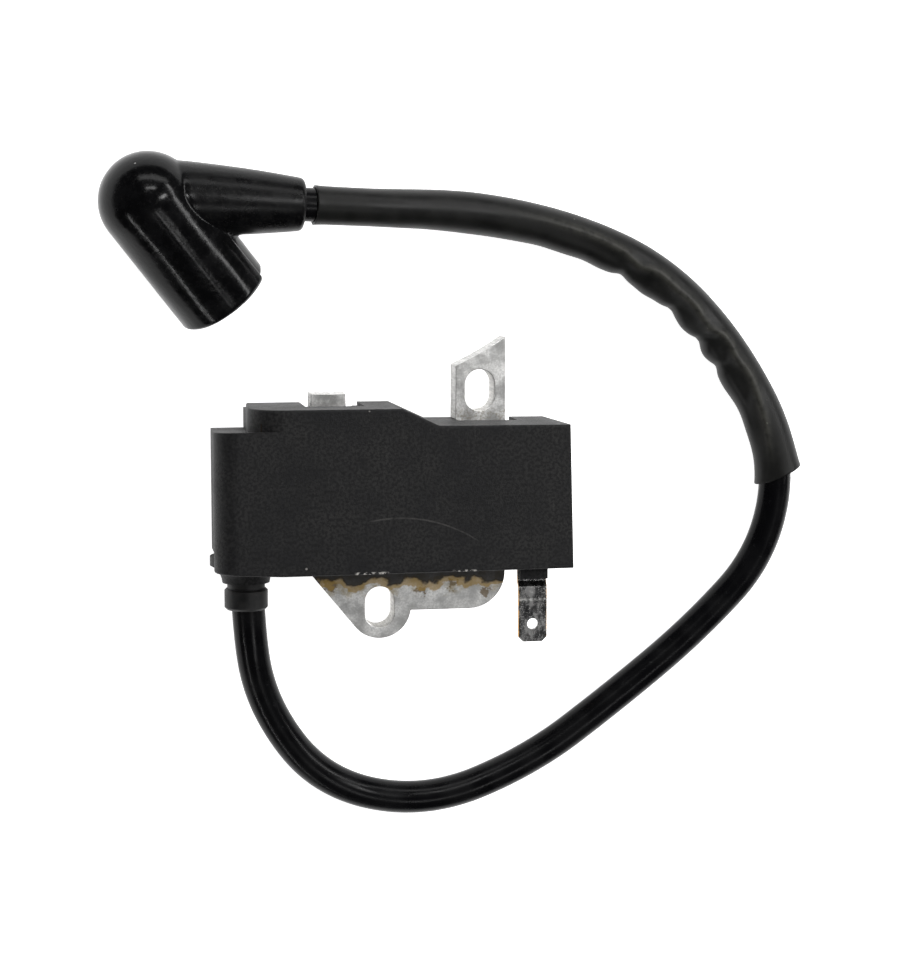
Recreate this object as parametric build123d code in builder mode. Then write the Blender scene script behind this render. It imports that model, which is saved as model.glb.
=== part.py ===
from build123d import *
import math
import os

# Flywheel ignition module of a small two-stroke engine, lying on its back on a flat surface.
# Millimetres. +X runs along the housing, +Y points at the flywheel, +Z is up.
# The origin is the middle of the module's footprint, lead and boot left out.
# Z = 0 is the surface that the module lies on.

os.makedirs("parts", exist_ok=True)

# Laminated core
SHEET = 0.5
SHEET_COUNT = 10
CORE_Z = 5.0
CORE_T = SHEET * SHEET_COUNT
CORE_MID = CORE_Z + CORE_T / 2
CORE_TOP = CORE_Z + CORE_T
FLYWHEEL_Y = 68.7
POLE_R = 52.4
LEG_A_X = -9.0
LEG_A = 5.8
LEG_A_LEFT = LEG_A_X - LEG_A / 2
LEG_A_RIGHT = LEG_A_X + LEG_A / 2
LEG_B_LEFT = 12.2
LEG_B_RIGHT = 20.6
LEG_B = LEG_B_RIGHT - LEG_B_LEFT
LEG_B_MID = (LEG_B_LEFT + LEG_B_RIGHT) / 2
YOKE_TOP = -13.0
YOKE_BOTTOM = -20.0
YOKE_CORNER_R = 6.1
EAR_R = 5.25
EAR_START_Y = -13.8
LEG_BLANK_TOP = 28.4
SLOT_W = 4.9
SLOT_L = 6.9
EAR_SLOT = (-0.6, -19.35)
TAB_SLOT = (16.3, 16.65)

# Housing
EDGE_Y = -11.6
HOUSE_TOP_Z = 24.0
SKIRT_Z = 7.0
SKIRT_INSET = 1.2
WALL_INSET = 2.2
ROOF = 1.6
HOUSE_LEFT = -28.9
HOUSE_RIGHT = 29.3
LEDGE_Y = 11.35
STEP_X = -23.4
COIL_ROOF_Y = 14.8
LOW_ROOF_Y = 11.9
COLUMN_R = 3.8
STEP_R = 6.0
SIDE_DRAFT = 1.1
SIDE_SKEW = 0.45
EDGE_LEFT_Y = -11.3
EDGE_BEND = (-18.0, -11.8)
EDGE_RIGHT_Y = -11.5
SHOULDER_X = 1.3
SHOULDER_FOOT_X = 7.3
SPOUT_R = 5.9
SPOUT_END_R = 3.9
SPOUT_ROOT = 1.5
SPOUT_LENGTH = 2.9
SPOUT_CURVE_R = 3.4
OUTLINE_LAP = 2.0
PAD_W = 4.6
PAD_LENGTH = 3.1
PAD_T = 2.2
RIM_R = 0.35
EPOXY_RECESS = 0.6
WINDOW_A = (-13.5, -3.9, 16.8)
WINDOW_B = (12.0, 21.8, 14.0)
WINDOW_YOKE = (-12.4, 21.2, 12.0)

# High-tension lead, sleeve and its outlet
LEAD_D = 5.5
LEAD_BORE_D = 1.7
STRAND_D = 1.6
SPIKE_DEPTH = 5.0
SLEEVE_D = 7.0
SLEEVE_BORE_D = 6.0
LEAD_X = -22.8
LEAD_Z = 10.0
LEAD_END_Y = -4.1
GROMMET_NECK_D = 6.2
GROMMET_RING_D = 7.15
GROMMET_FLANGE_R = 3.8
GROMMET_RING_TOP = -15.5
GROMMET_RING_BOTTOM = -19.0

# The lead's route, from its end inside the housing to its end inside the boot's arm.
LEAD_ROUTE = [
    (LEAD_X, LEAD_END_Y, LEAD_Z),
    (LEAD_X, -20.2, LEAD_Z),
    (-20.2, -36.0, 7.2),
    (-9.4, -50.8, 3.4),
    (8.6, -55.0, 2.8),
    (26.6, -48.2, 2.8),
    (41.2, -37.6, 2.8),
    (55.6, -26.1, 2.8),
    (68.2, -12.8, 2.9),
    (70.6, 5.4, 3.72),
    (61.3, 22.4, 3.75),
    (49.2, 35.5, 3.75),
    (32.4, 43.0, 3.8),
    (14.4, 46.3, 6.5),
    (-5.0, 46.7, 11.7),
    (-24.9, 47.7, 13.0),
]
SLEEVE_START_Y = 0.8
SLEEVE_END_X = -11.6

# Spark-plug boot
BOOT_D = 16.0
BOOT_MOUTH_D = 16.3
BOOT_LENGTH = 20.8
BOOT_BEARING = -51.5
BOOT_TILT = 15.9
SOCKET_R = 5.2
SOCKET_DEPTH = 12.0
SPRING_CHAMBER_R = 4.8
SPRING_CHAMBER_DEPTH = 17.0
BOOT_CENTRE = (-37.96, 47.57, 13.65)
ARM_START_R = 6.1
ARM_MID_R = 5.3
ARM_END_R = 4.3
ARM_END_X = -13.2
ARM_START_X = -37.0
ARM_BORE_START_X = -32.0
LEAD_RUNNING_GAP = 0.05
SPRING_WIRE_D = 0.9
SPRING_R = 4.1
SPRING_PITCH = 1.15
SPRING_TURNS = 3
CONTACT_BEND_X = -28.0
CONTACT_END_X = -20.6

# Stop-switch blade
BLADE_W = 4.8
BLADE_T = 0.8
BLADE_TAIL_W = 3.0
BLADE_TAIL_Y = -5.6
BLADE_X = 24.25
BLADE_Z = 14.0
BLADE_END_Y = -24.95
BLADE_JOG_Y = -14.8
BLADE_JOG = 0.7
BLADE_HOLE_D = 1.8
BLADE_HOLE_Y = -21.95

# Windings and electronics
CLEAR = 0.15
BOBBIN_WALL = 0.8
COIL_A_Y = (-8.7, 11.7)
COIL_B_Y = (-8.7, 9.1)
PRIMARY_BUILD = 0.9
SECONDARY_BUILD = 1.3
CHARGE_BUILD = 1.5
SECTIONS = 5
FLANGE_T = 0.8
BOARD_Z = 14.8
BOARD_T = 1.2
BOARD_FRONT = BOARD_Z + BOARD_T
BOARD_AT = (4.0, 0.2)
BOARD_SIZE = (43.0, 18.0)
BOARD_NOTCH_AT = (-15.5, 7.2)
BOARD_NOTCH = 4.1
CAPACITOR_AT = (4.5, -3.4)
CAPACITOR_SIZE = (13.0, 8.0, 5.2)
THYRISTOR_AT = (-8.5, -5.1)
THYRISTOR_SIZE = (6.6, 6.1, 2.3)
THYRISTOR_TAB_AT = (-8.5, -1.0)
THYRISTOR_TAB_SIZE = (5.2, 2.1, 0.5)
CHIP_AT = (3.0, 5.2)
CHIP_SIZE = (4.9, 3.9, 1.5)
DIODES_AT = (17.6, -5.6)
DIODE_R = 1.35
DIODE_LENGTH = 5.2
DIODE_PITCH = 4.2
RESISTORS_AT = (10.5, 3.4)
RESISTOR_R = 1.15
RESISTOR_LENGTH = 6.3
RESISTOR_PITCH = 3.6
COIL_WIRE_D = 0.5
CHARGE_WIRE_D = 0.4
GROUND_WIRE_D = 0.6
SPIKE_R = 0.7
SPIKE_HEAD_R = 2.5
SPIKE_HEAD_T = 0.8
SPIKE_POINT = 0.3
LINK_WIRE_D = 0.7
LINK_Y = 5.2
LINK_END_X = -15.85


def arc_radii(route):
    """The largest tangent arc that the two runs beside each corner leave room for."""
    radii = []
    for before, here, after in zip(route, route[1:], route[2:]):
        run_in = Vector(*here) - Vector(*before)
        run_out = Vector(*after) - Vector(*here)
        half_turn = math.radians(run_in.get_angle(run_out) / 2)
        radii.append(0.45 * min(run_in.length, run_out.length) / math.tan(half_turn))
    return radii


def station(line, wanted, axis):
    """The fraction of the line's length at which its X (0) or Y (1) first reaches a value."""
    steps = 4000
    start = tuple(line.position_at(0))[axis] < wanted
    for i in range(1, steps + 1):
        if (tuple(line.position_at(i / steps))[axis] < wanted) != start:
            return i / steps
    return 1.0


def frame_tube(mid, half_inner, half_outer, y_from, y_to):
    """A rectangular tube along +Y about a core leg: mid is (x, z), the halves are (x, z) sizes."""
    plane = Plane((mid[0], y_from, mid[1]), x_dir=(1, 0, 0), z_dir=(0, 1, 0))
    with BuildPart() as tube:
        with BuildSketch(plane):
            RectangleRounded(2 * half_outer[0], 2 * half_outer[1], 0.6)
            Rectangle(2 * half_inner[0], 2 * half_inner[1], mode=Mode.SUBTRACT)
        extrude(amount=y_to - y_from)
    return tube.part


def grown(half, by):
    """Half sizes (x, z) enlarged by the same amount."""
    return (half[0] + by, half[1] + by)


def straight_wire(points, diameter):
    """A short stiff wire through the given points, with small bends."""
    radii = [min(1.0, 0.4 * r) for r in arc_radii(points)]
    with BuildPart() as wire:
        with BuildLine() as path:
            if radii:
                FilletPolyline(*points, radius=radii)
            else:
                Polyline(*points)
        with BuildSketch(Plane(origin=path.wire() @ 0, z_dir=path.wire() % 0)):
            Circle(diameter / 2)
        sweep(path=path.wire())
    return wire.part


# ---------------------------------------------------------------- core laminations
ear_slot = Vector(*EAR_SLOT)
ear_start = Vector(LEG_A_LEFT, EAR_START_Y)
to_ear = ear_slot - ear_start
tangent_angle = math.atan2(to_ear.Y, to_ear.X) - math.asin(EAR_R / to_ear.length)
tangent_run = math.sqrt(to_ear.length**2 - EAR_R**2)
ear_tangent = ear_start + Vector(math.cos(tangent_angle), math.sin(tangent_angle)) * tangent_run

with BuildSketch() as sheet_outline:
    with BuildLine():
        Polyline(
            (LEG_A_LEFT, LEG_BLANK_TOP),
            (ear_start.X, ear_start.Y),
            (ear_tangent.X, ear_tangent.Y),
            (ear_slot.X, YOKE_BOTTOM),
            (LEG_B_RIGHT, YOKE_BOTTOM),
            (LEG_B_RIGHT, LEG_BLANK_TOP),
            (LEG_B_LEFT, LEG_BLANK_TOP),
            (LEG_B_LEFT, YOKE_TOP),
            (LEG_A_RIGHT, YOKE_TOP),
            (LEG_A_RIGHT, LEG_BLANK_TOP),
            close=True,
        )
    make_face()
    with Locations(EAR_SLOT):
        Circle(EAR_R)
    lower_corner = sheet_outline.vertices().sort_by(Axis.Y).group_by(Axis.X)[-1].sort_by(Axis.Y)[0]
    fillet(lower_corner, YOKE_CORNER_R)
    with Locations((LEG_A_X, FLYWHEEL_Y)):
        Circle(POLE_R, mode=Mode.SUBTRACT)
    with Locations(EAR_SLOT, TAB_SLOT):
        SlotOverall(SLOT_L, SLOT_W, rotation=90, mode=Mode.SUBTRACT)

for number in range(SHEET_COUNT):
    with BuildPart() as lamination:
        with BuildSketch(Plane.XY.offset(CORE_Z + number * SHEET)):
            add(sheet_outline.sketch)
        extrude(amount=SHEET)
    lamination.part.label = f"core_lamination_{number + 1:02d}"
    export_step(lamination.part, f"parts/core_lamination_{number + 1:02d}.step")

# ---------------------------------------------------------------- housing
with BuildSketch() as low_outline:
    with BuildLine():
        Polyline(
            (HOUSE_LEFT, EDGE_LEFT_Y),
            EDGE_BEND,
            (HOUSE_RIGHT, EDGE_RIGHT_Y),
            (HOUSE_RIGHT, LEDGE_Y),
            (HOUSE_LEFT, LEDGE_Y),
            close=True,
        )
    make_face()

with BuildSketch() as high_outline:
    with BuildLine():
        Polyline(
            (STEP_X, LEDGE_Y - OUTLINE_LAP),
            (HOUSE_RIGHT, LEDGE_Y - OUTLINE_LAP),
            (HOUSE_RIGHT, LOW_ROOF_Y),
            (SHOULDER_FOOT_X, LOW_ROOF_Y + 0.1),
            (SHOULDER_X, COIL_ROOF_Y),
            (STEP_X, COIL_ROOF_Y),
            close=True,
        )
    make_face()

with BuildSketch() as full_outline:
    add(low_outline.sketch)
    add(high_outline.sketch)

with BuildSketch() as cavity_outline:
    add(full_outline.sketch)
    offset(amount=-WALL_INSET, kind=Kind.INTERSECTION, mode=Mode.REPLACE)

# The walls lean in towards the open back, so that the moulding leaves its tool
step_wall = Plane(
    origin=(STEP_X, 0, HOUSE_TOP_Z),
    x_dir=(0, 1, 0),
    z_dir=(SKIRT_Z - HOUSE_TOP_Z, 0, -SIDE_DRAFT),
)
left_wall = Plane(
    origin=(HOUSE_LEFT, 0, HOUSE_TOP_Z),
    x_dir=(0, 1, 0),
    z_dir=(SKIRT_Z - HOUSE_TOP_Z, 0, -SIDE_DRAFT),
)
ledge_wall = Plane(
    origin=(0, LEDGE_Y, HOUSE_TOP_Z),
    x_dir=(1, 0, 0),
    z_dir=(0, HOUSE_TOP_Z - SKIRT_Z, -SIDE_DRAFT),
)

with BuildPart() as shoulder:
    with BuildSketch(Plane.XY.offset(SKIRT_Z)):
        add(high_outline.sketch)
    extrude(amount=HOUSE_TOP_Z - SKIRT_Z)
    split(bisect_by=step_wall, keep=Keep.BOTTOM)
    fillet(shoulder.edges().filter_by(Axis.Y).sort_by(Axis.X).group_by(Axis.X)[0].sort_by(Axis.Z)[-1], STEP_R)

right_wall = Plane(
    origin=(HOUSE_RIGHT, EDGE_Y, HOUSE_TOP_Z),
    x_dir=(SIDE_DRAFT, 0, HOUSE_TOP_Z - SKIRT_Z),
    z_dir=(HOUSE_TOP_Z - SKIRT_Z, SIDE_SKEW, -SIDE_DRAFT),
)

with BuildPart() as housing:
    with BuildSketch(Plane.XY.offset(SKIRT_Z)):
        add(low_outline.sketch)
    extrude(amount=HOUSE_TOP_Z - SKIRT_Z)
    split(bisect_by=left_wall, keep=Keep.BOTTOM)
    split(bisect_by=ledge_wall, keep=Keep.BOTTOM)
    fillet(housing.edges().filter_by(Axis.Y).group_by(Axis.X)[0].sort_by(Axis.Z)[-1], COLUMN_R)
    add(shoulder.part)
    split(bisect_by=right_wall, keep=Keep.BOTTOM)
    front_rim = housing.faces().sort_by(Axis.Z)[-1].edges()
    soft_joins = front_rim.filter_by(Axis.Y).filter_by(lambda edge: edge.center().X < 0)
    ledge_rim = front_rim.filter_by(lambda edge: abs(edge.center().Y - LEDGE_Y) < 0.01)
    fillet(front_rim - soft_joins - ledge_rim, RIM_R)
    with BuildSketch():
        add(full_outline.sketch)
        offset(amount=-SKIRT_INSET, kind=Kind.INTERSECTION, mode=Mode.REPLACE)
    extrude(amount=SKIRT_Z)
    with BuildSketch(Plane((LEAD_X, EDGE_Y, LEAD_Z), x_dir=(1, 0, 0), z_dir=(0, 0, 1))):
        with BuildLine():
            Line((0, SPOUT_ROOT), (SPOUT_R, SPOUT_ROOT))
            Line((SPOUT_R, SPOUT_ROOT), (SPOUT_R, 0))
            RadiusArc((SPOUT_R, 0), (SPOUT_END_R, -SPOUT_LENGTH), -SPOUT_CURVE_R)
            Line((SPOUT_END_R, -SPOUT_LENGTH), (0, -SPOUT_LENGTH))
            Line((0, -SPOUT_LENGTH), (0, SPOUT_ROOT))
        make_face()
    revolve(axis=Axis((LEAD_X, 0, LEAD_Z), (0, 1, 0)))
    with BuildSketch():
        add(cavity_outline.sketch)
    extrude(amount=HOUSE_TOP_Z - ROOF, mode=Mode.SUBTRACT)
    with BuildSketch(Plane.XY.offset(BLADE_Z + BLADE_T)):
        with Locations((BLADE_X - (BLADE_W - PAD_W) / 2, EDGE_Y - PAD_LENGTH / 2 + 0.5)):
            Rectangle(PAD_W, PAD_LENGTH)
    extrude(amount=PAD_T)
    with BuildSketch():
        with Locations(((WINDOW_A[0] + WINDOW_A[1]) / 2, COIL_ROOF_Y)):
            Rectangle(WINDOW_A[1] - WINDOW_A[0], 5.0)
    extrude(amount=WINDOW_A[2], mode=Mode.SUBTRACT)
    with BuildSketch():
        with Locations(((WINDOW_B[0] + WINDOW_B[1]) / 2, LOW_ROOF_Y)):
            Rectangle(WINDOW_B[1] - WINDOW_B[0], 5.0)
    extrude(amount=WINDOW_B[2], mode=Mode.SUBTRACT)
    with BuildSketch():
        with Locations(((WINDOW_YOKE[0] + WINDOW_YOKE[1]) / 2, EDGE_Y)):
            Rectangle(WINDOW_YOKE[1] - WINDOW_YOKE[0], 5.0)
    extrude(amount=WINDOW_YOKE[2], mode=Mode.SUBTRACT)
    with BuildSketch(Plane.XY.offset(BLADE_Z)):
        with Locations((BLADE_X, EDGE_Y + 0.2)):
            Rectangle(BLADE_W + 0.1, 7.0)
    extrude(amount=BLADE_T, mode=Mode.SUBTRACT)
    with BuildSketch(Plane((LEAD_X, EDGE_Y - 4, LEAD_Z), x_dir=(1, 0, 0), z_dir=(0, 1, 0))):
        Circle(GROMMET_NECK_D / 2)
    extrude(amount=8, mode=Mode.SUBTRACT)
housing.part.label = "housing"
export_step(housing.part, "parts/housing.step")

# ---------------------------------------------------------------- coil on the short leg
leg_a_half = (LEG_A / 2, CORE_T / 2)
leg_a = (LEG_A_X, CORE_MID)
bobbin_bore = grown(leg_a_half, CLEAR)
bobbin_outer = grown(bobbin_bore, BOBBIN_WALL)
primary_outer = grown(bobbin_outer, PRIMARY_BUILD)
secondary_bore = grown(primary_outer, 0.1)
secondary_core = grown(secondary_bore, 0.7)
secondary_outer = grown(secondary_core, SECONDARY_BUILD)
section_rim = grown(secondary_outer, 0.25)

with BuildPart() as primary_bobbin:
    add(frame_tube(leg_a, bobbin_bore, bobbin_outer, COIL_A_Y[0], COIL_A_Y[1]))
    add(frame_tube(leg_a, bobbin_bore, primary_outer, COIL_A_Y[0], COIL_A_Y[0] + FLANGE_T))
    add(frame_tube(leg_a, bobbin_bore, primary_outer, COIL_A_Y[1] - FLANGE_T, COIL_A_Y[1]))
primary_bobbin.part.label = "primary_bobbin"
export_step(primary_bobbin.part, "parts/primary_bobbin.step")

with BuildPart() as primary_winding:
    add(frame_tube(leg_a, bobbin_outer, primary_outer, COIL_A_Y[0] + FLANGE_T, COIL_A_Y[1] - FLANGE_T))
primary_winding.part.label = "primary_winding"
export_step(primary_winding.part, "parts/primary_winding.step")

rim_pitch = (COIL_A_Y[1] - COIL_A_Y[0] - FLANGE_T) / SECTIONS
with BuildPart() as secondary_bobbin:
    add(frame_tube(leg_a, secondary_bore, secondary_core, COIL_A_Y[0], COIL_A_Y[1]))
    for number in range(SECTIONS + 1):
        rim_y = COIL_A_Y[0] + number * rim_pitch
        add(frame_tube(leg_a, secondary_bore, section_rim, rim_y, rim_y + FLANGE_T))
secondary_bobbin.part.label = "secondary_bobbin"
export_step(secondary_bobbin.part, "parts/secondary_bobbin.step")

with BuildPart() as secondary_winding:
    for number in range(SECTIONS):
        section_y = COIL_A_Y[0] + number * rim_pitch + FLANGE_T
        section_end = section_y + rim_pitch - FLANGE_T
        add(frame_tube(leg_a, secondary_core, secondary_outer, section_y, section_end))
secondary_winding.part.label = "secondary_winding"
export_step(secondary_winding.part, "parts/secondary_winding.step")

# ---------------------------------------------------------------- charge coil on the long leg
leg_b_half = (LEG_B / 2, CORE_T / 2)
leg_b = (LEG_B_MID, CORE_MID)
charge_bore = grown(leg_b_half, CLEAR)
charge_core = grown(charge_bore, BOBBIN_WALL)
charge_outer = grown(charge_core, CHARGE_BUILD)

with BuildPart() as charge_bobbin:
    add(frame_tube(leg_b, charge_bore, charge_core, COIL_B_Y[0], COIL_B_Y[1]))
    add(frame_tube(leg_b, charge_bore, grown(charge_outer, 0.2), COIL_B_Y[0], COIL_B_Y[0] + FLANGE_T))
    add(frame_tube(leg_b, charge_bore, grown(charge_outer, 0.2), COIL_B_Y[1] - FLANGE_T, COIL_B_Y[1]))
charge_bobbin.part.label = "charge_bobbin"
export_step(charge_bobbin.part, "parts/charge_bobbin.step")

with BuildPart() as charge_winding:
    add(frame_tube(leg_b, charge_core, charge_outer, COIL_B_Y[0] + FLANGE_T, COIL_B_Y[1] - FLANGE_T))
charge_winding.part.label = "charge_winding"
export_step(charge_winding.part, "parts/charge_winding.step")

# ---------------------------------------------------------------- circuit board and its components
with BuildPart() as circuit_board:
    with BuildSketch(Plane.XY.offset(BOARD_Z)):
        with Locations(BOARD_AT):
            Rectangle(*BOARD_SIZE)
        with Locations(BOARD_NOTCH_AT):
            Rectangle(BOARD_NOTCH, BOARD_NOTCH, mode=Mode.SUBTRACT)
    extrude(amount=BOARD_T)
circuit_board.part.label = "circuit_board"
export_step(circuit_board.part, "parts/circuit_board.step")

with BuildPart() as storage_capacitor:
    with BuildSketch(Plane.XY.offset(BOARD_FRONT)):
        with Locations(CAPACITOR_AT):
            RectangleRounded(CAPACITOR_SIZE[0], CAPACITOR_SIZE[1], 0.8)
    extrude(amount=CAPACITOR_SIZE[2])
    fillet(storage_capacitor.faces().sort_by(Axis.Z)[-1].edges(), 0.6)
storage_capacitor.part.label = "storage_capacitor"
export_step(storage_capacitor.part, "parts/storage_capacitor.step")

with BuildPart() as thyristor:
    with BuildSketch(Plane.XY.offset(BOARD_FRONT)):
        with Locations(THYRISTOR_AT):
            Rectangle(THYRISTOR_SIZE[0], THYRISTOR_SIZE[1])
    extrude(amount=THYRISTOR_SIZE[2])
    with BuildSketch(Plane.XY.offset(BOARD_FRONT)):
        with Locations(THYRISTOR_TAB_AT):
            Rectangle(THYRISTOR_TAB_SIZE[0], THYRISTOR_TAB_SIZE[1])
    extrude(amount=THYRISTOR_TAB_SIZE[2])
thyristor.part.label = "thyristor"
export_step(thyristor.part, "parts/thyristor.step")

with BuildPart() as timing_chip:
    with BuildSketch(Plane.XY.offset(BOARD_FRONT)):
        with Locations(CHIP_AT):
            Rectangle(CHIP_SIZE[0], CHIP_SIZE[1])
    extrude(amount=CHIP_SIZE[2])
    chamfer(timing_chip.faces().sort_by(Axis.Z)[-1].edges(), 0.2)
timing_chip.part.label = "timing_chip"
export_step(timing_chip.part, "parts/timing_chip.step")

with BuildPart() as diodes:
    with BuildSketch(Plane((*DIODES_AT, BOARD_FRONT + DIODE_R), x_dir=(1, 0, 0), z_dir=(0, 1, 0))):
        with GridLocations(DIODE_PITCH, 1, 3, 1):
            Circle(DIODE_R)
    extrude(amount=DIODE_LENGTH)
diodes.part.label = "diodes"
export_step(diodes.part, "parts/diodes.step")

with BuildPart() as resistors:
    with BuildSketch(Plane((*RESISTORS_AT, BOARD_FRONT + RESISTOR_R), x_dir=(0, 1, 0), z_dir=(1, 0, 0))):
        with GridLocations(RESISTOR_PITCH, 1, 2, 1):
            Circle(RESISTOR_R)
    extrude(amount=RESISTOR_LENGTH)
resistors.part.label = "resistors"
export_step(resistors.part, "parts/resistors.step")

with BuildPart() as coil_leads:
    add(straight_wire([(-1.6, -7.0, 10.0), (-0.4, -7.0, 12.0), (-0.4, -7.0, BOARD_Z)], COIL_WIRE_D))
    add(straight_wire([(-1.6, 9.4, 10.0), (-0.4, 8.4, 12.0), (-0.4, 8.4, BOARD_Z)], COIL_WIRE_D))
coil_leads.part.label = "coil_leads"
export_step(coil_leads.part, "parts/coil_leads.step")

with BuildPart() as charge_leads:
    add(straight_wire([(8.9, -5.6, 9.0), (7.6, -5.6, 11.0), (7.6, -5.6, BOARD_Z)], CHARGE_WIRE_D))
    add(straight_wire([(8.9, 6.4, 9.0), (7.6, 6.4, 11.0), (7.6, 6.4, BOARD_Z)], CHARGE_WIRE_D))
charge_leads.part.label = "charge_leads"
export_step(charge_leads.part, "parts/charge_leads.step")

with BuildPart() as ground_wire:
    add(straight_wire([(-7.4, 12.15, CORE_TOP), (-7.4, 12.15, 15.4), (-7.4, 9.2, 15.4)], GROUND_WIRE_D))
ground_wire.part.label = "ground_wire"
export_step(ground_wire.part, "parts/ground_wire.step")

# ---------------------------------------------------------------- stop-switch blade
with BuildPart() as stop_terminal:
    with BuildSketch(Plane.YZ.offset(BLADE_X - BLADE_W / 2)):
        with BuildLine():
            Polyline(
                (BLADE_TAIL_Y, BLADE_Z),
                (BLADE_TAIL_Y, BLADE_Z + BLADE_T),
                (BLADE_JOG_Y, BLADE_Z + BLADE_T),
                (BLADE_JOG_Y - 0.9, BLADE_Z + BLADE_T + BLADE_JOG),
                (BLADE_END_Y, BLADE_Z + BLADE_T + BLADE_JOG),
                (BLADE_END_Y, BLADE_Z + BLADE_JOG),
                (BLADE_JOG_Y - 1.1, BLADE_Z + BLADE_JOG),
                (BLADE_JOG_Y - 0.2, BLADE_Z),
                close=True,
            )
        make_face()
    extrude(amount=BLADE_W)
    with BuildSketch(Plane.XY.offset(BLADE_Z)):
        with Locations((BLADE_X, -7.4)):
            Rectangle(BLADE_W, 4.0)
            Rectangle(BLADE_TAIL_W, 4.0, mode=Mode.SUBTRACT)
    extrude(amount=BLADE_T, mode=Mode.SUBTRACT)
    chamfer(stop_terminal.edges().filter_by(Axis.Z).group_by(Axis.Y)[0], 0.8)
    with BuildSketch(Plane.XY.offset(BLADE_Z)):
        with Locations((BLADE_X, BLADE_HOLE_Y)):
            Circle(BLADE_HOLE_D / 2)
    extrude(amount=3, mode=Mode.SUBTRACT)
stop_terminal.part.label = "stop_terminal"
export_step(stop_terminal.part, "parts/stop_terminal.step")

# ---------------------------------------------------------------- high-tension lead
with BuildLine() as lead_line:
    FilletPolyline(*LEAD_ROUTE, radius=arc_radii(LEAD_ROUTE))
lead_path = lead_line.wire()
print("lead length", round(lead_path.length, 1))

with BuildPart() as ht_lead_jacket:
    with BuildSketch(Plane(origin=lead_path @ 0, z_dir=lead_path % 0)):
        Circle(LEAD_D / 2)
        Circle(LEAD_BORE_D / 2, mode=Mode.SUBTRACT)
    sweep(path=lead_path)
ht_lead_jacket.part.label = "ht_lead_jacket"
export_step(ht_lead_jacket.part, "parts/ht_lead_jacket.step")

spike_share = SPIKE_DEPTH / lead_path.length
strand_path = lead_path.trim(spike_share, 1 - spike_share)
with BuildPart() as ht_conductor:
    with BuildSketch(Plane(origin=strand_path @ 0, z_dir=strand_path % 0)):
        Circle(STRAND_D / 2)
    sweep(path=strand_path)
ht_conductor.part.label = "ht_conductor"
export_step(ht_conductor.part, "parts/ht_conductor.step")

half_way = lead_path.trim(0.5, 1.0)
sleeve_from = 0.5 + 0.5 * station(half_way, SLEEVE_START_Y, 1)
sleeve_to = 0.5 + 0.5 * station(half_way, SLEEVE_END_X, 0)
sleeve_path = lead_path.trim(sleeve_from, sleeve_to)
print("sleeve length", round(sleeve_path.length, 1))
with BuildPart() as protective_sleeve:
    with BuildSketch(Plane(origin=sleeve_path @ 0, z_dir=sleeve_path % 0)):
        Circle(SLEEVE_D / 2)
        Circle(SLEEVE_BORE_D / 2, mode=Mode.SUBTRACT)
    sweep(path=sleeve_path)
protective_sleeve.part.label = "protective_sleeve"
export_step(protective_sleeve.part, "parts/protective_sleeve.step")

with BuildPart() as lead_grommet:
    with BuildSketch(Plane((LEAD_X, 0, LEAD_Z), x_dir=(1, 0, 0), z_dir=(0, 0, 1))):
        with BuildLine():
            Polyline(
                (LEAD_D / 2, EDGE_Y + 3.6),
                (GROMMET_FLANGE_R, EDGE_Y + 3.6),
                (GROMMET_FLANGE_R, EDGE_Y + WALL_INSET + 0.3),
                (GROMMET_NECK_D / 2, EDGE_Y + WALL_INSET + 0.3),
                (GROMMET_NECK_D / 2, GROMMET_RING_TOP),
                (GROMMET_RING_D / 2 - 0.3, GROMMET_RING_TOP),
                (GROMMET_RING_D / 2, GROMMET_RING_TOP - 0.3),
                (GROMMET_RING_D / 2, GROMMET_RING_BOTTOM + 0.4),
                (GROMMET_RING_D / 2 - 0.4, GROMMET_RING_BOTTOM),
                (LEAD_D / 2, GROMMET_RING_BOTTOM),
                close=True,
            )
        make_face()
    revolve(axis=Axis((LEAD_X, 0, LEAD_Z), (0, 1, 0)))
lead_grommet.part.label = "lead_grommet"
export_step(lead_grommet.part, "parts/lead_grommet.step")

with BuildPart() as ht_spike:
    spike_tip_y = LEAD_END_Y - SPIKE_DEPTH + SPIKE_POINT
    with BuildSketch(Plane((LEAD_X, spike_tip_y, LEAD_Z), x_dir=(1, 0, 0), z_dir=(0, 1, 0))):
        Circle(SPIKE_R)
    extrude(amount=SPIKE_DEPTH - SPIKE_POINT)
    with BuildSketch(Plane((LEAD_X, LEAD_END_Y, LEAD_Z), x_dir=(1, 0, 0), z_dir=(0, 1, 0))):
        Circle(SPIKE_HEAD_R)
    extrude(amount=SPIKE_HEAD_T)
ht_spike.part.label = "ht_spike"
export_step(ht_spike.part, "parts/ht_spike.step")

with BuildPart() as ht_link_wire:
    link_points = [
        (LEAD_X, LEAD_END_Y + SPIKE_HEAD_T, LEAD_Z),
        (LEAD_X, LINK_Y, LEAD_Z),
        (LINK_END_X, LINK_Y, LEAD_Z),
    ]
    add(straight_wire(link_points, LINK_WIRE_D))
ht_link_wire.part.label = "ht_link_wire"
export_step(ht_link_wire.part, "parts/ht_link_wire.step")

# ---------------------------------------------------------------- spark-plug boot
bearing = math.radians(BOOT_BEARING)
tilt = math.radians(BOOT_TILT)
barrel_dir = Vector(
    math.cos(bearing) * math.cos(tilt),
    math.sin(bearing) * math.cos(tilt),
    -math.sin(tilt),
)
boot_centre = Vector(*BOOT_CENTRE)
boot_mouth = boot_centre + barrel_dir * BOOT_LENGTH
arm_dir = (Vector(*LEAD_ROUTE[-2]) - Vector(*LEAD_ROUTE[-1])).normalized()
lead_end = Vector(*LEAD_ROUTE[-1])


def on_arm(x):
    """The point of the arm's axis at this X."""
    return lead_end + arm_dir * ((x - lead_end.X) / arm_dir.X)


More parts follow.
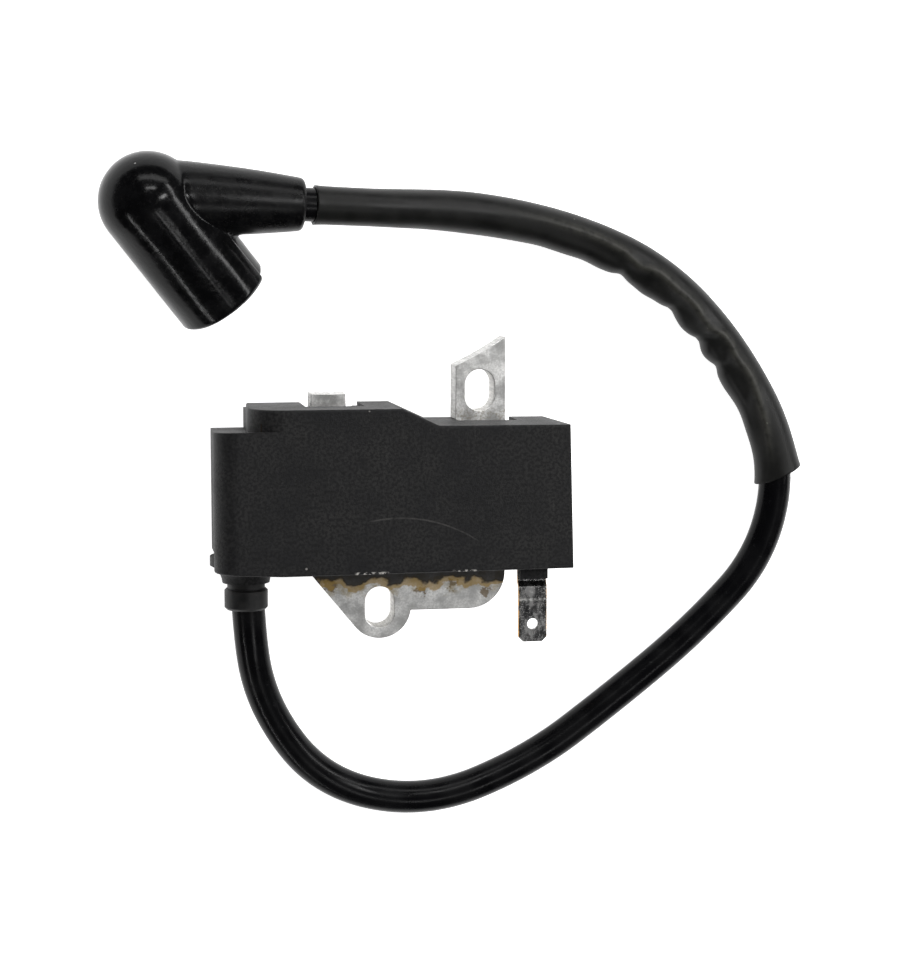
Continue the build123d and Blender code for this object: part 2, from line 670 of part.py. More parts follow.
arm_start = on_arm(ARM_START_X)
arm_length = (on_arm(ARM_END_X) - arm_start).length
barrel_side = Vector(0, 0, 1).cross(barrel_dir).normalized()
arm_side = Vector(0, 0, 1).cross(arm_dir).normalized()

with BuildPart() as boot_arm:
    with BuildSketch(Plane(origin=arm_start, x_dir=arm_side, z_dir=arm_dir.cross(arm_side))):
        with BuildLine():
            Line((0, 0), (0, -arm_length))
            Line((0, -arm_length), (ARM_END_R - 0.4, -arm_length))
            Line((ARM_END_R - 0.4, -arm_length), (ARM_END_R, -arm_length + 0.5))
            ThreePointArc(
                (ARM_END_R, -arm_length + 0.5), (ARM_MID_R, -0.6 * arm_length), (ARM_START_R, 0)
            )
            Line((ARM_START_R, 0), (0, 0))
        make_face()
    revolve(axis=Axis(arm_start, arm_dir))

with BuildPart() as boot:
    with BuildSketch(Plane(origin=boot_centre, x_dir=barrel_side, z_dir=barrel_dir.cross(barrel_side))):
        with BuildLine():
            RadiusArc((0, BOOT_D / 2), (BOOT_D / 2, 0), BOOT_D / 2)
            Line((BOOT_D / 2, 0), (BOOT_MOUTH_D / 2, -BOOT_LENGTH + 0.6))
            Line((BOOT_MOUTH_D / 2, -BOOT_LENGTH + 0.6), (BOOT_MOUTH_D / 2 - 0.6, -BOOT_LENGTH))
            Line((BOOT_MOUTH_D / 2 - 0.6, -BOOT_LENGTH), (0, -BOOT_LENGTH))
            Line((0, -BOOT_LENGTH), (0, BOOT_D / 2))
        make_face()
    revolve(axis=Axis(boot_centre, barrel_dir))
    add(boot_arm.part)
    with BuildSketch(Plane(origin=boot_mouth, z_dir=-barrel_dir)):
        Circle(SOCKET_R)
    extrude(amount=SOCKET_DEPTH, mode=Mode.SUBTRACT)
    with BuildSketch(Plane(origin=boot_mouth, z_dir=-barrel_dir)):
        Circle(SPRING_CHAMBER_R)
    extrude(amount=SPRING_CHAMBER_DEPTH, mode=Mode.SUBTRACT)
    with BuildSketch(Plane(origin=on_arm(ARM_BORE_START_X), z_dir=arm_dir)):
        Circle(LEAD_D / 2 + LEAD_RUNNING_GAP)
    extrude(amount=ARM_END_X - ARM_BORE_START_X + 2.0, mode=Mode.SUBTRACT)
boot.part.label = "spark_plug_boot"
export_step(boot.part, "parts/spark_plug_boot.step")

spring_foot = boot_mouth - barrel_dir * (SPRING_CHAMBER_DEPTH - SPRING_PITCH * SPRING_TURNS - 1.0)
with BuildPart() as plug_spring:
    with BuildLine() as spring_line:
        Helix(SPRING_PITCH, SPRING_PITCH * SPRING_TURNS, SPRING_R, center=spring_foot, direction=-barrel_dir)
    with BuildSketch(Plane(origin=spring_line.wire() @ 0, z_dir=spring_line.wire() % 0)):
        Circle(SPRING_WIRE_D / 2)
    sweep(path=spring_line.wire(), is_frenet=True)
    add(straight_wire([spring_line.wire() @ 1, on_arm(CONTACT_BEND_X), on_arm(CONTACT_END_X)], SPRING_WIRE_D))
plug_spring.part.label = "plug_spring"
export_step(plug_spring.part, "parts/plug_spring.step")

# ---------------------------------------------------------------- epoxy fill
with BuildPart() as potting:
    with BuildSketch(Plane.XY.offset(EPOXY_RECESS)):
        add(cavity_outline.sketch)
    extrude(amount=HOUSE_TOP_Z - ROOF - EPOXY_RECESS)
    with BuildSketch(Plane.XY.offset(EPOXY_RECESS)):
        with Locations(((WINDOW_A[0] + WINDOW_A[1]) / 2, 12.9)):
            Rectangle(WINDOW_A[1] - WINDOW_A[0], 1.2)
    extrude(amount=WINDOW_A[2] - EPOXY_RECESS)
    with BuildSketch(Plane.XY.offset(EPOXY_RECESS)):
        with Locations(((WINDOW_B[0] + WINDOW_B[1]) / 2, 10.0)):
            Rectangle(WINDOW_B[1] - WINDOW_B[0], 1.2)
    extrude(amount=WINDOW_B[2] - EPOXY_RECESS)
    with BuildSketch(Plane.XY.offset(EPOXY_RECESS)):
        with Locations(((WINDOW_YOKE[0] + WINDOW_YOKE[1]) / 2, -9.9)):
            Rectangle(WINDOW_YOKE[1] - WINDOW_YOKE[0], 1.4)
    extrude(amount=WINDOW_YOKE[2] - EPOXY_RECESS)
    with BuildSketch(Plane.XY.offset(CORE_Z - 0.8)):
        with Locations(((LEG_A_LEFT + LEG_B_RIGHT) / 2, -11.1)):
            Rectangle(LEG_B_RIGHT - LEG_A_LEFT, 3.8)
    extrude(amount=CORE_T + 1.6)
    with BuildSketch(Plane.XY.offset(CORE_Z)):
        add(sheet_outline.sketch)
    extrude(amount=CORE_T, mode=Mode.SUBTRACT)
    for inside in (
        housing,
        primary_bobbin,
        primary_winding,
        secondary_bobbin,
        secondary_winding,
        charge_bobbin,
        charge_winding,
        circuit_board,
        storage_capacitor,
        thyristor,
        timing_chip,
        diodes,
        resistors,
        coil_leads,
        charge_leads,
        ground_wire,
        stop_terminal,
        ht_lead_jacket,
        ht_conductor,
        lead_grommet,
        ht_spike,
        ht_link_wire,
    ):
        add(inside.part, mode=Mode.SUBTRACT)
    add(potting.solids().sort_by(SortBy.VOLUME)[-1], mode=Mode.REPLACE)
potting.part.label = "potting"
export_step(potting.part, "parts/potting.step")
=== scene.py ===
"""Looks of a small engine's ignition module: sealed coil on its core, plug lead, sleeve and boot.

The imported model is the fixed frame. Its pieces keep their places and get their finishes here.
The lead, its sleeve and strand, the boot, the blade and the core sheets are made anew.
All lengths are in metres.
"""

import logging
import math
from dataclasses import dataclass
from enum import Enum
from typing import Optional, Sequence, Union

import bmesh
import bpy
import numpy as np
from mathutils import Matrix, Vector


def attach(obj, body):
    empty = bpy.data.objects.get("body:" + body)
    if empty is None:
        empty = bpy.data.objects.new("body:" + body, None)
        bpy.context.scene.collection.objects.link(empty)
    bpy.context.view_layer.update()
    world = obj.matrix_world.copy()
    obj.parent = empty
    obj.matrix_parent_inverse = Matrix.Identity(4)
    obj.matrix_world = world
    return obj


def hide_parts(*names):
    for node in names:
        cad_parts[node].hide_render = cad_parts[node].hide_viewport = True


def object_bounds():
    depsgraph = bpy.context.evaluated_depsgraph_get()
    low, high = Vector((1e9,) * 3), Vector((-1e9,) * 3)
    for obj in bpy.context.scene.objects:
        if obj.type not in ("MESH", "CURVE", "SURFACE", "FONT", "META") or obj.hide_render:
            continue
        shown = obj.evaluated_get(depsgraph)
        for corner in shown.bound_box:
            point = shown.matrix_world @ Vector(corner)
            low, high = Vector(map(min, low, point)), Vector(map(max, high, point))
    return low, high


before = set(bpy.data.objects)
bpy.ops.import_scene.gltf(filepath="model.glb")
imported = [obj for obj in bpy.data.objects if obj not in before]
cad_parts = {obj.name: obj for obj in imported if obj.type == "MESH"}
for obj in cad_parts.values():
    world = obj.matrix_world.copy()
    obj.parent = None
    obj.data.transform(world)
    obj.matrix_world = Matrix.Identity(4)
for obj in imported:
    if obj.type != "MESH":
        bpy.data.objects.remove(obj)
cad_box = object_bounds()

LOG = logging.getLogger("ignition_module")
MM = 0.001
DEGREE = math.pi / 180

Value = Union[float, Sequence[float], bpy.types.NodeSocket]


class Body(Enum):
    """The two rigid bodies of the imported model."""

    MODULE = "module"
    BOOT = "boot"


# ---------------------------------------------------------------- surfaces


def rows_of(points: np.ndarray) -> np.ndarray:
    """Unit vectors along the rows of an array of vectors."""
    return points / np.maximum(np.linalg.norm(points, axis=-1, keepdims=True), 1e-12)


def smooth_step(values: np.ndarray, low: float, high: float) -> np.ndarray:
    """Rises from 0 at low to 1 at high as 3t^2 - 2t^3, where t is the share of the way."""
    share = np.clip((values - low) / (high - low), 0.0, 1.0)
    return share * share * (3.0 - 2.0 * share)


def bell(values: np.ndarray, centre: Union[float, np.ndarray], width: float) -> np.ndarray:
    """A bell curve: e to the power of minus the squared distance from centre in widths."""
    return np.exp(-(((values - centre) / width) ** 2))


def grid_faces(rows: int, columns: int, loop_rows: bool, loop_columns: bool) -> np.ndarray:
    """Four-sided faces between neighbouring points of a grid.

    Args:
        rows: Number of rows of points.
        columns: Number of points in a row.
        loop_rows: Whether the last row joins the first.
        loop_columns: Whether each row's last point joins its first.

    Returns:
        An array of four point numbers per face.
    """
    row = np.arange(rows if loop_rows else rows - 1)[:, None]
    column = np.arange(columns if loop_columns else columns - 1)[None, :]
    below, right = (row + 1) % rows, (column + 1) % columns
    corners = (
        row * columns + column,
        row * columns + right,
        below * columns + right,
        below * columns + column,
    )
    return np.stack([np.broadcast_to(c, (row.size, column.size)) for c in corners], -1).reshape(-1, 4)


def enclosed_volume(points: np.ndarray, faces: np.ndarray) -> float:
    """Volume inside a closed mesh of four-sided faces, negative where the faces point inwards.

    Each face is cut into two triangles, and the volume is a sixth of the sum of their
    corners' triple products.
    """
    a, b, c, d = (points[faces[:, i]] for i in range(4))
    first = np.einsum("ij,ij->i", a, np.cross(b, c)).sum()
    second = np.einsum("ij,ij->i", a, np.cross(c, d)).sum()
    return float(first + second) / 6.0


def new_piece(name: str, mesh: bpy.types.Mesh) -> bpy.types.Object:
    """Puts a mesh into the scene as an object at the origin."""
    piece = bpy.data.objects.new(name, mesh)
    bpy.context.scene.collection.objects.link(piece)
    return piece


def closed_surface(name: str, points: np.ndarray, loop_rows: bool = True) -> bpy.types.Object:
    """Makes an object from a grid of points whose surface is closed.

    Args:
        name: The piece's name.
        points: Points as rows by columns by three.
        loop_rows: Whether the grid's last row joins its first.

    Returns:
        The object, smooth, with its faces pointing outwards.
    """
    flat = points.reshape(-1, 3)
    faces = grid_faces(points.shape[0], points.shape[1], loop_rows, True)
    if enclosed_volume(flat, faces) < 0:
        faces = faces[:, ::-1]
    mesh = bpy.data.meshes.new(name)
    mesh.from_pydata(flat.tolist(), [], faces.tolist())
    mesh.validate()
    mesh.polygons.foreach_set("use_smooth", np.ones(len(mesh.polygons), bool))
    mesh.update()
    return new_piece(name, mesh)


def capped(rings: np.ndarray) -> np.ndarray:
    """Adds a ring drawn in to its centre at both ends, so that a tube's ends are closed."""
    first, last = rings[:1], rings[-1:]
    centres = [np.broadcast_to(r.mean(1, keepdims=True), r.shape) for r in (first, last)]
    return np.concatenate([centres[0], first, rings, last, centres[1]])


def merge_poles(piece: bpy.types.Object) -> None:
    """Joins points that lie on each other, as in a cap's middle, and drops faces with no area."""
    work = bmesh.new()
    work.from_mesh(piece.data)
    bmesh.ops.remove_doubles(work, verts=work.verts, dist=1e-7)
    bmesh.ops.dissolve_degenerate(work, dist=1e-8, edges=work.edges)
    work.to_mesh(piece.data)
    work.free()


def merged_copy(node: str, name: str) -> bpy.types.Object:
    """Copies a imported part's mesh as a new flat-shaded piece, with its loose triangles joined."""
    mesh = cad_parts[node].data.copy()
    mesh.name = name
    mesh.materials.clear()
    work = bmesh.new()
    work.from_mesh(mesh)
    bmesh.ops.remove_doubles(work, verts=work.verts, dist=2e-6)
    flat = math.radians(1.0)
    bmesh.ops.dissolve_limit(work, angle_limit=flat, verts=work.verts, edges=work.edges)
    work.to_mesh(mesh)
    work.free()
    mesh.polygons.foreach_set("use_smooth", np.zeros(len(mesh.polygons), bool))
    return new_piece(name, mesh)


def points_of(mesh: bpy.types.Mesh) -> np.ndarray:
    """A mesh's points as an array."""
    flat = np.empty(len(mesh.vertices) * 3, np.float32)
    mesh.vertices.foreach_get("co", flat)
    return flat.reshape(-1, 3).astype(float)


def rounded_edges(piece: bpy.types.Object, width: float, steps: int) -> None:
    """Gives a piece's sharp edges a small round."""
    bevel = piece.modifiers.new("edge_round", "BEVEL")
    bevel.width = width
    bevel.segments = steps
    bevel.limit_method = "ANGLE"
    bevel.angle_limit = 32 * DEGREE
    bevel.use_clamp_overlap = True


# ---------------------------------------------------------------- material graph


class Graph:
    """A finish's node tree, with short calls for the few kinds of node that it needs."""

    def __init__(self, name: str) -> None:
        """Starts a material with a shader and the object's own coordinates."""
        self.material = bpy.data.materials.new(name)
        self.material.use_nodes = True
        self.tree = self.material.node_tree
        self.tree.nodes.clear()
        self.shader = self.tree.nodes.new("ShaderNodeBsdfPrincipled")
        output = self.tree.nodes.new("ShaderNodeOutputMaterial")
        self.tree.links.new(self.shader.outputs[0], output.inputs[0])
        self.place = self.tree.nodes.new("ShaderNodeTexCoord").outputs["Object"]
        split = self.tree.nodes.new("ShaderNodeSeparateXYZ")
        self.tree.links.new(self.place, split.inputs[0])
        self.x, self.y, self.z = split.outputs

    def put(self, socket: bpy.types.NodeSocket, value: Value) -> None:
        """Links a node's result to a socket, or sets the socket to a fixed value."""
        if isinstance(value, bpy.types.NodeSocket):
            self.tree.links.new(value, socket)
        elif hasattr(value, "__len__") and len(value) == 3 and len(socket.default_value) == 4:
            socket.default_value = (*value, 1.0)
        else:
            socket.default_value = value

    def set(self, **values: Value) -> None:
        """Sets the shader's sockets, named in lower case with _ for a space."""
        for name, value in values.items():
            sockets = {s.name.lower().replace(" ", "_"): s for s in self.shader.inputs}
            self.put(sockets[name], value)

    def stretched(self, scale: Sequence[float], turn: float = 0.0) -> bpy.types.NodeSocket:
        """The object's coordinates, scaled along each axis after a turn about Z."""
        mapping = self.tree.nodes.new("ShaderNodeMapping")
        self.put(mapping.inputs["Vector"], self.place)
        mapping.inputs["Scale"].default_value = scale
        mapping.inputs["Rotation"].default_value = (0.0, 0.0, turn)
        return mapping.outputs[0]

    def noise(
        self,
        size: float,
        detail: float = 3.0,
        rough: float = 0.5,
        place: Optional[bpy.types.NodeSocket] = None,
    ) -> bpy.types.NodeSocket:
        """Cloudy noise whose blobs are about size across, from 0 to 1."""
        node = self.tree.nodes.new("ShaderNodeTexNoise")
        self.put(node.inputs["Vector"], place or self.place)
        node.inputs["Scale"].default_value = 1.0 / size
        node.inputs["Detail"].default_value = detail
        node.inputs["Roughness"].default_value = rough
        return node.outputs["Fac"]

    def cells(self, size: float) -> bpy.types.NodeSocket:
        """Distance from the middle of the nearest of many scattered cells, in cell sizes."""
        node = self.tree.nodes.new("ShaderNodeTexVoronoi")
        self.put(node.inputs["Vector"], self.place)
        node.inputs["Scale"].default_value = 1.0 / size
        return node.outputs["Distance"]

    def span(
        self, value: Value, low: float, high: float, start: float = 0.0, end: float = 1.0
    ) -> bpy.types.NodeSocket:
        """Goes smoothly from start to end as value goes from low to high, and stays there."""
        node = self.tree.nodes.new("ShaderNodeMapRange")
        node.interpolation_type = "SMOOTHSTEP"
        self.put(node.inputs["Value"], value)
        for name, number in (("From Min", low), ("From Max", high), ("To Min", start), ("To Max", end)):
            node.inputs[name].default_value = number
        return node.outputs["Result"]

    def math(self, kind: str, first: Value, second: Value = 0.0) -> bpy.types.NodeSocket:
        """One step of arithmetic on two numbers."""
        node = self.tree.nodes.new("ShaderNodeMath")
        node.operation = kind
        self.put(node.inputs[0], first)
        self.put(node.inputs[1], second)
        return node.outputs[0]

    def both(self, first: Value, *others: Value) -> bpy.types.NodeSocket:
        """The product of several masks, which is 1 only where all of them are."""
        result = first
        for other in others:
            result = self.math("MULTIPLY", result, other)
        return result

    def window(self, value: Value, low: float, high: float, edge: float) -> bpy.types.NodeSocket:
        """1 between low and high, falling to 0 over edge outside them."""
        rise = self.span(value, low - edge, low)
        fall = self.span(value, high, high + edge, 1.0, 0.0)
        return self.math("MULTIPLY", rise, fall)

    def colour(self, share: Value, first: Value, second: Value) -> bpy.types.NodeSocket:
        """The second colour laid over the first by a share."""
        node = self.tree.nodes.new("ShaderNodeMix")
        node.data_type = "RGBA"
        self.put(node.inputs[0], share)
        self.put(node.inputs[6], first)
        self.put(node.inputs[7], second)
        return node.outputs[2]

    def relief(
        self, height: Value, depth: float, under: Optional[bpy.types.NodeSocket] = None
    ) -> bpy.types.NodeSocket:
        """A bump normal from a height of 0 to 1 that stands for depth metres."""
        node = self.tree.nodes.new("ShaderNodeBump")
        node.inputs["Strength"].default_value = 1.0
        node.inputs["Distance"].default_value = depth
        self.put(node.inputs["Height"], height)
        if under is not None:
            self.put(node.inputs["Normal"], under)
        return node.outputs["Normal"]

    def attribute(self, name: str) -> bpy.types.NodeSocket:
        """A number that the piece's own mesh carries at each point."""
        node = self.tree.nodes.new("ShaderNodeAttribute")
        node.attribute_name = name
        return node.outputs["Fac"]

    def facing_up(self) -> bpy.types.NodeSocket:
        """How far the surface faces along Z, up or down, from 0 to 1."""
        geometry = self.tree.nodes.new("ShaderNodeNewGeometry")
        split = self.tree.nodes.new("ShaderNodeSeparateXYZ")
        self.put(split.inputs[0], geometry.outputs["True Normal"])
        return self.math("ABSOLUTE", split.outputs[2])


# ---------------------------------------------------------------- finishes


@dataclass(frozen=True)
class Finish:
    """A finish: the name of its material slot, and how the surface is painted."""

    slot: str

    def paint(self, g: Graph) -> None:
        """Links the finish's nodes to the graph's shader."""
        raise NotImplementedError

    def material(self) -> bpy.types.Material:
        """The finish's material, made once and then shared."""
        name = f"{self.slot}_{type(self).__name__}"
        if name not in bpy.data.materials:
            graph = Graph(name)
            self.paint(graph)
        return bpy.data.materials[name]


@dataclass(frozen=True)
class SparkedPlastic(Finish):
    """Matte black moulded plastic with a spark-eroded grain, rubbed and chipped at its front rim."""

    slot: str = "housing_plastic"
    black: tuple = (0.0085, 0.0085, 0.0095)
    grey: tuple = (0.0190, 0.0186, 0.0184)
    rubbed_grey: tuple = (0.034, 0.033, 0.032)
    pit_black: tuple = (0.0055, 0.0055, 0.006)
    scratch_grey: tuple = (0.062, 0.060, 0.058)
    chip_white: tuple = (0.55, 0.53, 0.50)
    speck_grey: tuple = (0.22, 0.21, 0.20)
    grain: float = 0.22 * MM
    rim_y: float = -11.6 * MM
    rim_z: float = 24.0 * MM
    chips: tuple = ((-6.2 * MM, -1.4 * MM), (9.7 * MM, 12.9 * MM))
    scratch_centre: tuple = (0.6 * MM, -25.6 * MM)
    scratch_radius: float = 22.9 * MM

    def paint(self, g: Graph) -> None:
        """Colour clouds, faint rubs, one long curved scratch, chips on the rim, and the grain."""
        clouds = g.noise(7 * MM, 4.0, 0.6)
        base = g.colour(g.span(clouds, 0.3, 0.7), self.black, self.grey)
        rubs = g.noise(1.0, 5.0, 0.65, g.stretched((900.0, 160.0, 900.0), 0.3))
        rubbed = g.span(rubs, 0.56, 0.82, 0.0, 0.5)
        base = g.colour(rubbed, base, self.rubbed_grey)
        pits = g.noise(0.5 * MM, 2.0)
        base = g.colour(g.span(pits, 0.42, 0.60, 0.0, 0.85), base, self.pit_black)
        across = g.math("SUBTRACT", g.x, self.scratch_centre[0])
        along = g.math("SUBTRACT", g.y, self.scratch_centre[1])
        squares = g.math("ADD", g.math("POWER", across, 2.0), g.math("POWER", along, 2.0))
        from_arc = g.math("ABSOLUTE", g.math("SUBTRACT", g.math("SQRT", squares), self.scratch_radius))
        front = g.span(g.z, self.rim_z - 0.5 * MM, self.rim_z - 0.2 * MM)
        scratch = g.both(
            g.span(from_arc, 0.0, 0.22 * MM, 1.0, 0.0), g.window(g.x, -3 * MM, 12 * MM, 2 * MM), front,
            g.span(g.noise(1.3 * MM), 0.3, 0.6, 0.2, 0.75),
        )
        base = g.colour(scratch, base, self.scratch_grey)
        edge = g.both(
            g.span(g.y, self.rim_y + 0.10 * MM, self.rim_y + 0.42 * MM, 1.0, 0.0),
            g.span(g.z, self.rim_z - 0.55 * MM, self.rim_z - 0.2 * MM),
        )
        flakes = g.span(g.noise(0.8 * MM, 3.0, 0.7), 0.49, 0.56)
        for low, high in self.chips:
            chip = g.both(edge, flakes, g.window(g.x, low, high, 0.5 * MM))
            base = g.colour(chip, base, self.chip_white)
        specks = g.both(g.span(g.cells(4.2 * MM), 0.035, 0.06, 1.0, 0.0), g.span(g.noise(9 * MM), 0.5, 0.6))
        base = g.colour(specks, base, self.speck_grey)
        rough = g.math("ADD", g.span(clouds, 0.3, 0.7, 0.50, 0.60), g.span(rubs, 0.5, 0.8, 0.0, -0.10))
        grain = g.relief(g.noise(self.grain, 3.0, 0.65), 0.075 * MM)
        worn = g.relief(g.noise(1.7 * MM, 2.0), 0.035 * MM, grain)
        g.set(base_color=base, roughness=rough, normal=worn, specular_ior_level=0.21)


@dataclass(frozen=True)
class CastEpoxy(Finish):
    """Dark cast epoxy, glossy, with flow ripples, a few trapped bubbles and settled dust."""

    slot: str = "epoxy"

    def paint(self, g: Graph) -> None:
        """Brown-black colour with slow ripples, bubble dimples and a little dust."""
        ripples = g.noise(9 * MM, 2.0, 0.45)
        bubbles = g.span(g.cells(2.6 * MM), 0.08, 0.16, 0.0, 1.0)
        base = g.colour(g.span(ripples, 0.35, 0.7), (0.012, 0.009, 0.007), (0.030, 0.022, 0.015))
        dust = g.span(g.noise(0.35 * MM, 4.0, 0.7), 0.62, 0.75, 0.0, 0.35)
        base = g.colour(dust, base, (0.16, 0.14, 0.11))
        rough = g.math("ADD", g.span(ripples, 0.3, 0.7, 0.10, 0.22), g.math("MULTIPLY", dust, 0.8))
        wave = g.relief(ripples, 0.35 * MM)
        g.set(base_color=base, roughness=rough, normal=g.relief(bubbles, 0.05 * MM, wave))


@dataclass(frozen=True)
class ElectricalSteel(Finish):
    """Stamped, annealed electrical sheet: mottled grey, stained with varnish next to the housing, with a
    painted shadow band and epoxy just under the housing's edge.
    """

    slot: str = "core_steel"
    sheet: float = 0.5 * MM
    foot_stain: tuple = (-18.4 * MM, -14.0 * MM)
    # Painted shadow band with epoxy under the housing's edge: it fades in between these heights, in y
    foot_dark: tuple = (-15.5 * MM, -14.9 * MM)
    leg_root: tuple = (11.9 * MM, 13.2 * MM)
    sheet_dark: tuple = (0.54, 0.54, 0.53)
    sheet_pale: tuple = (0.88, 0.875, 0.86)
    cut_dark: tuple = (0.62, 0.615, 0.60)
    cut_pale: tuple = (0.97, 0.96, 0.94)
    varnish_brown: tuple = (0.36, 0.27, 0.10)
    fringe_amber: tuple = (0.42, 0.27, 0.07)
    spot_brown: tuple = (0.16, 0.10, 0.035)
    soot_black: tuple = (0.010, 0.008, 0.006)
    # Stains on the yoke: x, y and radius in millimetres
    spots: tuple = ((-8.9, -15.6, 1.3), (6.2, -16.7, 1.0), (17.2, -17.3, 0.8), (11.6, -15.8, 0.9))

    def paint(self, g: Graph) -> None:
        """Mottle on the faces, shear marks on the cut edges, varnish at the roots, and a painted shadow
        band with epoxy just under the housing's edge.
        """
        broad, fine = g.noise(2.6 * MM, 5.0, 0.62), g.noise(0.32 * MM, 4.0, 0.7)
        base = g.colour(g.span(broad, 0.34, 0.68), self.sheet_dark, self.sheet_pale)
        base = g.colour(g.span(fine, 0.38, 0.66, 0.0, 0.55), base, (0.42, 0.415, 0.40))
        base = g.colour(g.span(fine, 0.60, 0.74, 0.0, 0.5), base, (0.97, 0.965, 0.95))
        cut = g.span(g.facing_up(), 0.35, 0.75, 1.0, 0.0)
        marks = g.noise(1.0, 3.0, 0.6, g.stretched((2600.0, 2600.0, 260.0)))
        cut_colour = g.colour(g.span(marks, 0.35, 0.65), self.cut_dark, self.cut_pale)
        base = g.colour(g.math("MULTIPLY", cut, 0.85), base, cut_colour)
        wavy = g.math("ADD", g.y, g.span(g.noise(5.5 * MM, 3.0), 0.3, 0.7, -1.3 * MM, 1.3 * MM))
        varnish = g.both(
            g.window(wavy, self.foot_stain[0] + 1.6 * MM, self.foot_stain[1] + 2 * MM, 1.3 * MM),
            g.span(g.noise(1.5 * MM, 4.0, 0.6), 0.42, 0.64),
        )
        base = g.colour(g.math("MULTIPLY", varnish, 0.55), base, self.varnish_brown)
        ragged = g.span(g.noise(1.1 * MM, 4.0, 0.65), 0.3, 0.7, -0.7 * MM, 0.7 * MM)
        for x, y, radius in self.spots:
            across, along = g.math("SUBTRACT", g.x, x * MM), g.math("SUBTRACT", g.y, y * MM)
            squares = g.math("ADD", g.math("POWER", across, 2.0), g.math("POWER", along, 2.0))
            reach = g.math("ADD", g.math("SQRT", squares), ragged)
            inner = g.span(reach, 0.5 * radius * MM, radius * MM, 0.75, 0.0)
            spot = g.both(inner, g.span(g.y, 0.0, MM, 1.0, 0.0))
            base = g.colour(spot, base, self.spot_brown)
        # Wavy edge shared by the varnish fringe and the painted shadow band under the housing's edge
        seep_and_shadow_edge = g.math("ADD", g.y, g.span(g.noise(3.2 * MM, 3.0), 0.3, 0.7, -0.9 * MM, 0.9 * MM))
        below = g.span(g.y, 0.0, 2 * MM, 1.0, 0.0)
        fringe = g.both(g.window(seep_and_shadow_edge, self.foot_dark[0] - 0.45 * MM, self.foot_dark[1], 0.3 * MM), below)
        base = g.colour(g.math("MULTIPLY", fringe, 0.7), base, self.fringe_amber)
        # Painted shadow mixed with epoxy: the yoke just under the housing's edge is painted near black
        epoxy_and_shadow = g.both(g.span(seep_and_shadow_edge, *self.foot_dark), below)
        base = g.colour(g.math("MULTIPLY", epoxy_and_shadow, 0.93), base, self.soot_black)
        root = g.both(g.window(g.y, self.leg_root[0], self.leg_root[1], 0.6 * MM), g.span(fine, 0.5, 0.6))
        base = g.colour(g.math("MULTIPLY", root, 0.5), base, (0.35, 0.30, 0.22))
        # The painted shadow band and the varnish are made less metallic
        coated_and_shaded = g.math("MAXIMUM", epoxy_and_shadow, g.math("MULTIPLY", varnish, 0.5))
        bare = g.span(coated_and_shaded, 0.0, 1.0, 1.0, 0.15)
        metal = g.math("SUBTRACT", bare, g.math("MULTIPLY", cut, 0.7))
        rough = g.math("ADD", g.span(broad, 0.3, 0.7, 0.34, 0.46), g.math("MULTIPLY", cut, 0.12))
        pitted = g.relief(fine, 0.010 * MM)
        g.set(base_color=base, metallic=metal, roughness=rough, normal=g.relief(marks, 0.006 * MM, pitted))


@dataclass(frozen=True)
class TinnedBlade(Finish):
    """Tin-plated brass strip, smeared by contact, with bare brass along its sheared edges."""

    slot: str = "tinned_brass"
    middle: float = 24.25 * MM
    half: float = 2.4 * MM
    rubbed_y: float = -17.9 * MM

    def paint(self, g: Graph) -> None:
        """Smears and pinpricks in the tin, a rubbed line across, and brass at both edges."""
        smear = g.noise(1.0, 4.0, 0.65, g.stretched((900.0, 330.0, 900.0)))
        fleck = g.noise(0.30 * MM, 3.0, 0.7)
        base = g.colour(g.span(smear, 0.36, 0.64), (0.12, 0.12, 0.123), (0.34, 0.335, 0.33))
        base = g.colour(g.span(fleck, 0.57, 0.66, 0.0, 0.5), base, (0.66, 0.65, 0.63))
        line = g.both(g.window(g.y, self.rubbed_y - 0.1 * MM, self.rubbed_y + 0.1 * MM, 0.25 * MM),
                      g.span(g.noise(0.5 * MM), 0.35, 0.55))
        base = g.colour(g.math("MULTIPLY", line, 0.7), base, (0.75, 0.74, 0.72))
        across = g.math("ABSOLUTE", g.math("SUBTRACT", g.x, self.middle))
        bare = g.both(g.span(across, self.half - 0.22 * MM, self.half - 0.05 * MM),
                      g.span(g.noise(1.1 * MM, 3.0), 0.36, 0.5))
        base = g.colour(bare, base, (0.72, 0.40, 0.12))
        rough = g.math("ADD", g.span(smear, 0.3, 0.7, 0.16, 0.32), g.span(fleck, 0.5, 0.7, 0.0, 0.12))
        g.set(base_color=base, metallic=1.0, roughness=rough, normal=g.relief(smear, 0.020 * MM))


@dataclass(frozen=True)
class VinylJacket(Finish):
    """Glossy black vinyl of the plug lead, slightly wavy, with a few hairline rubs."""

    slot: str = "lead_jacket"

    def paint(self, g: Graph) -> None:
        """Deep black with long low waves, fine orange peel, and rubs that dull the gloss."""
        waves, peel = g.noise(4.5 * MM, 2.0, 0.4), g.noise(0.55 * MM, 3.0, 0.55)
        base = g.colour(g.span(waves, 0.35, 0.7), (0.0025, 0.0025, 0.0030), (0.0050, 0.0050, 0.0055))
        rubs = g.span(g.noise(0.9 * MM, 5.0, 0.72), 0.60, 0.74, 0.0, 0.6)
        base = g.colour(rubs, base, (0.020, 0.020, 0.021))
        rough = g.math("ADD", g.span(waves, 0.3, 0.7, 0.20, 0.28), g.math("MULTIPLY", rubs, 0.22))
        low = g.relief(waves, 0.05 * MM)
        peeled = g.relief(peel, 0.006 * MM, low)
        g.set(base_color=base, roughness=rough, normal=peeled, specular_ior_level=0.10)


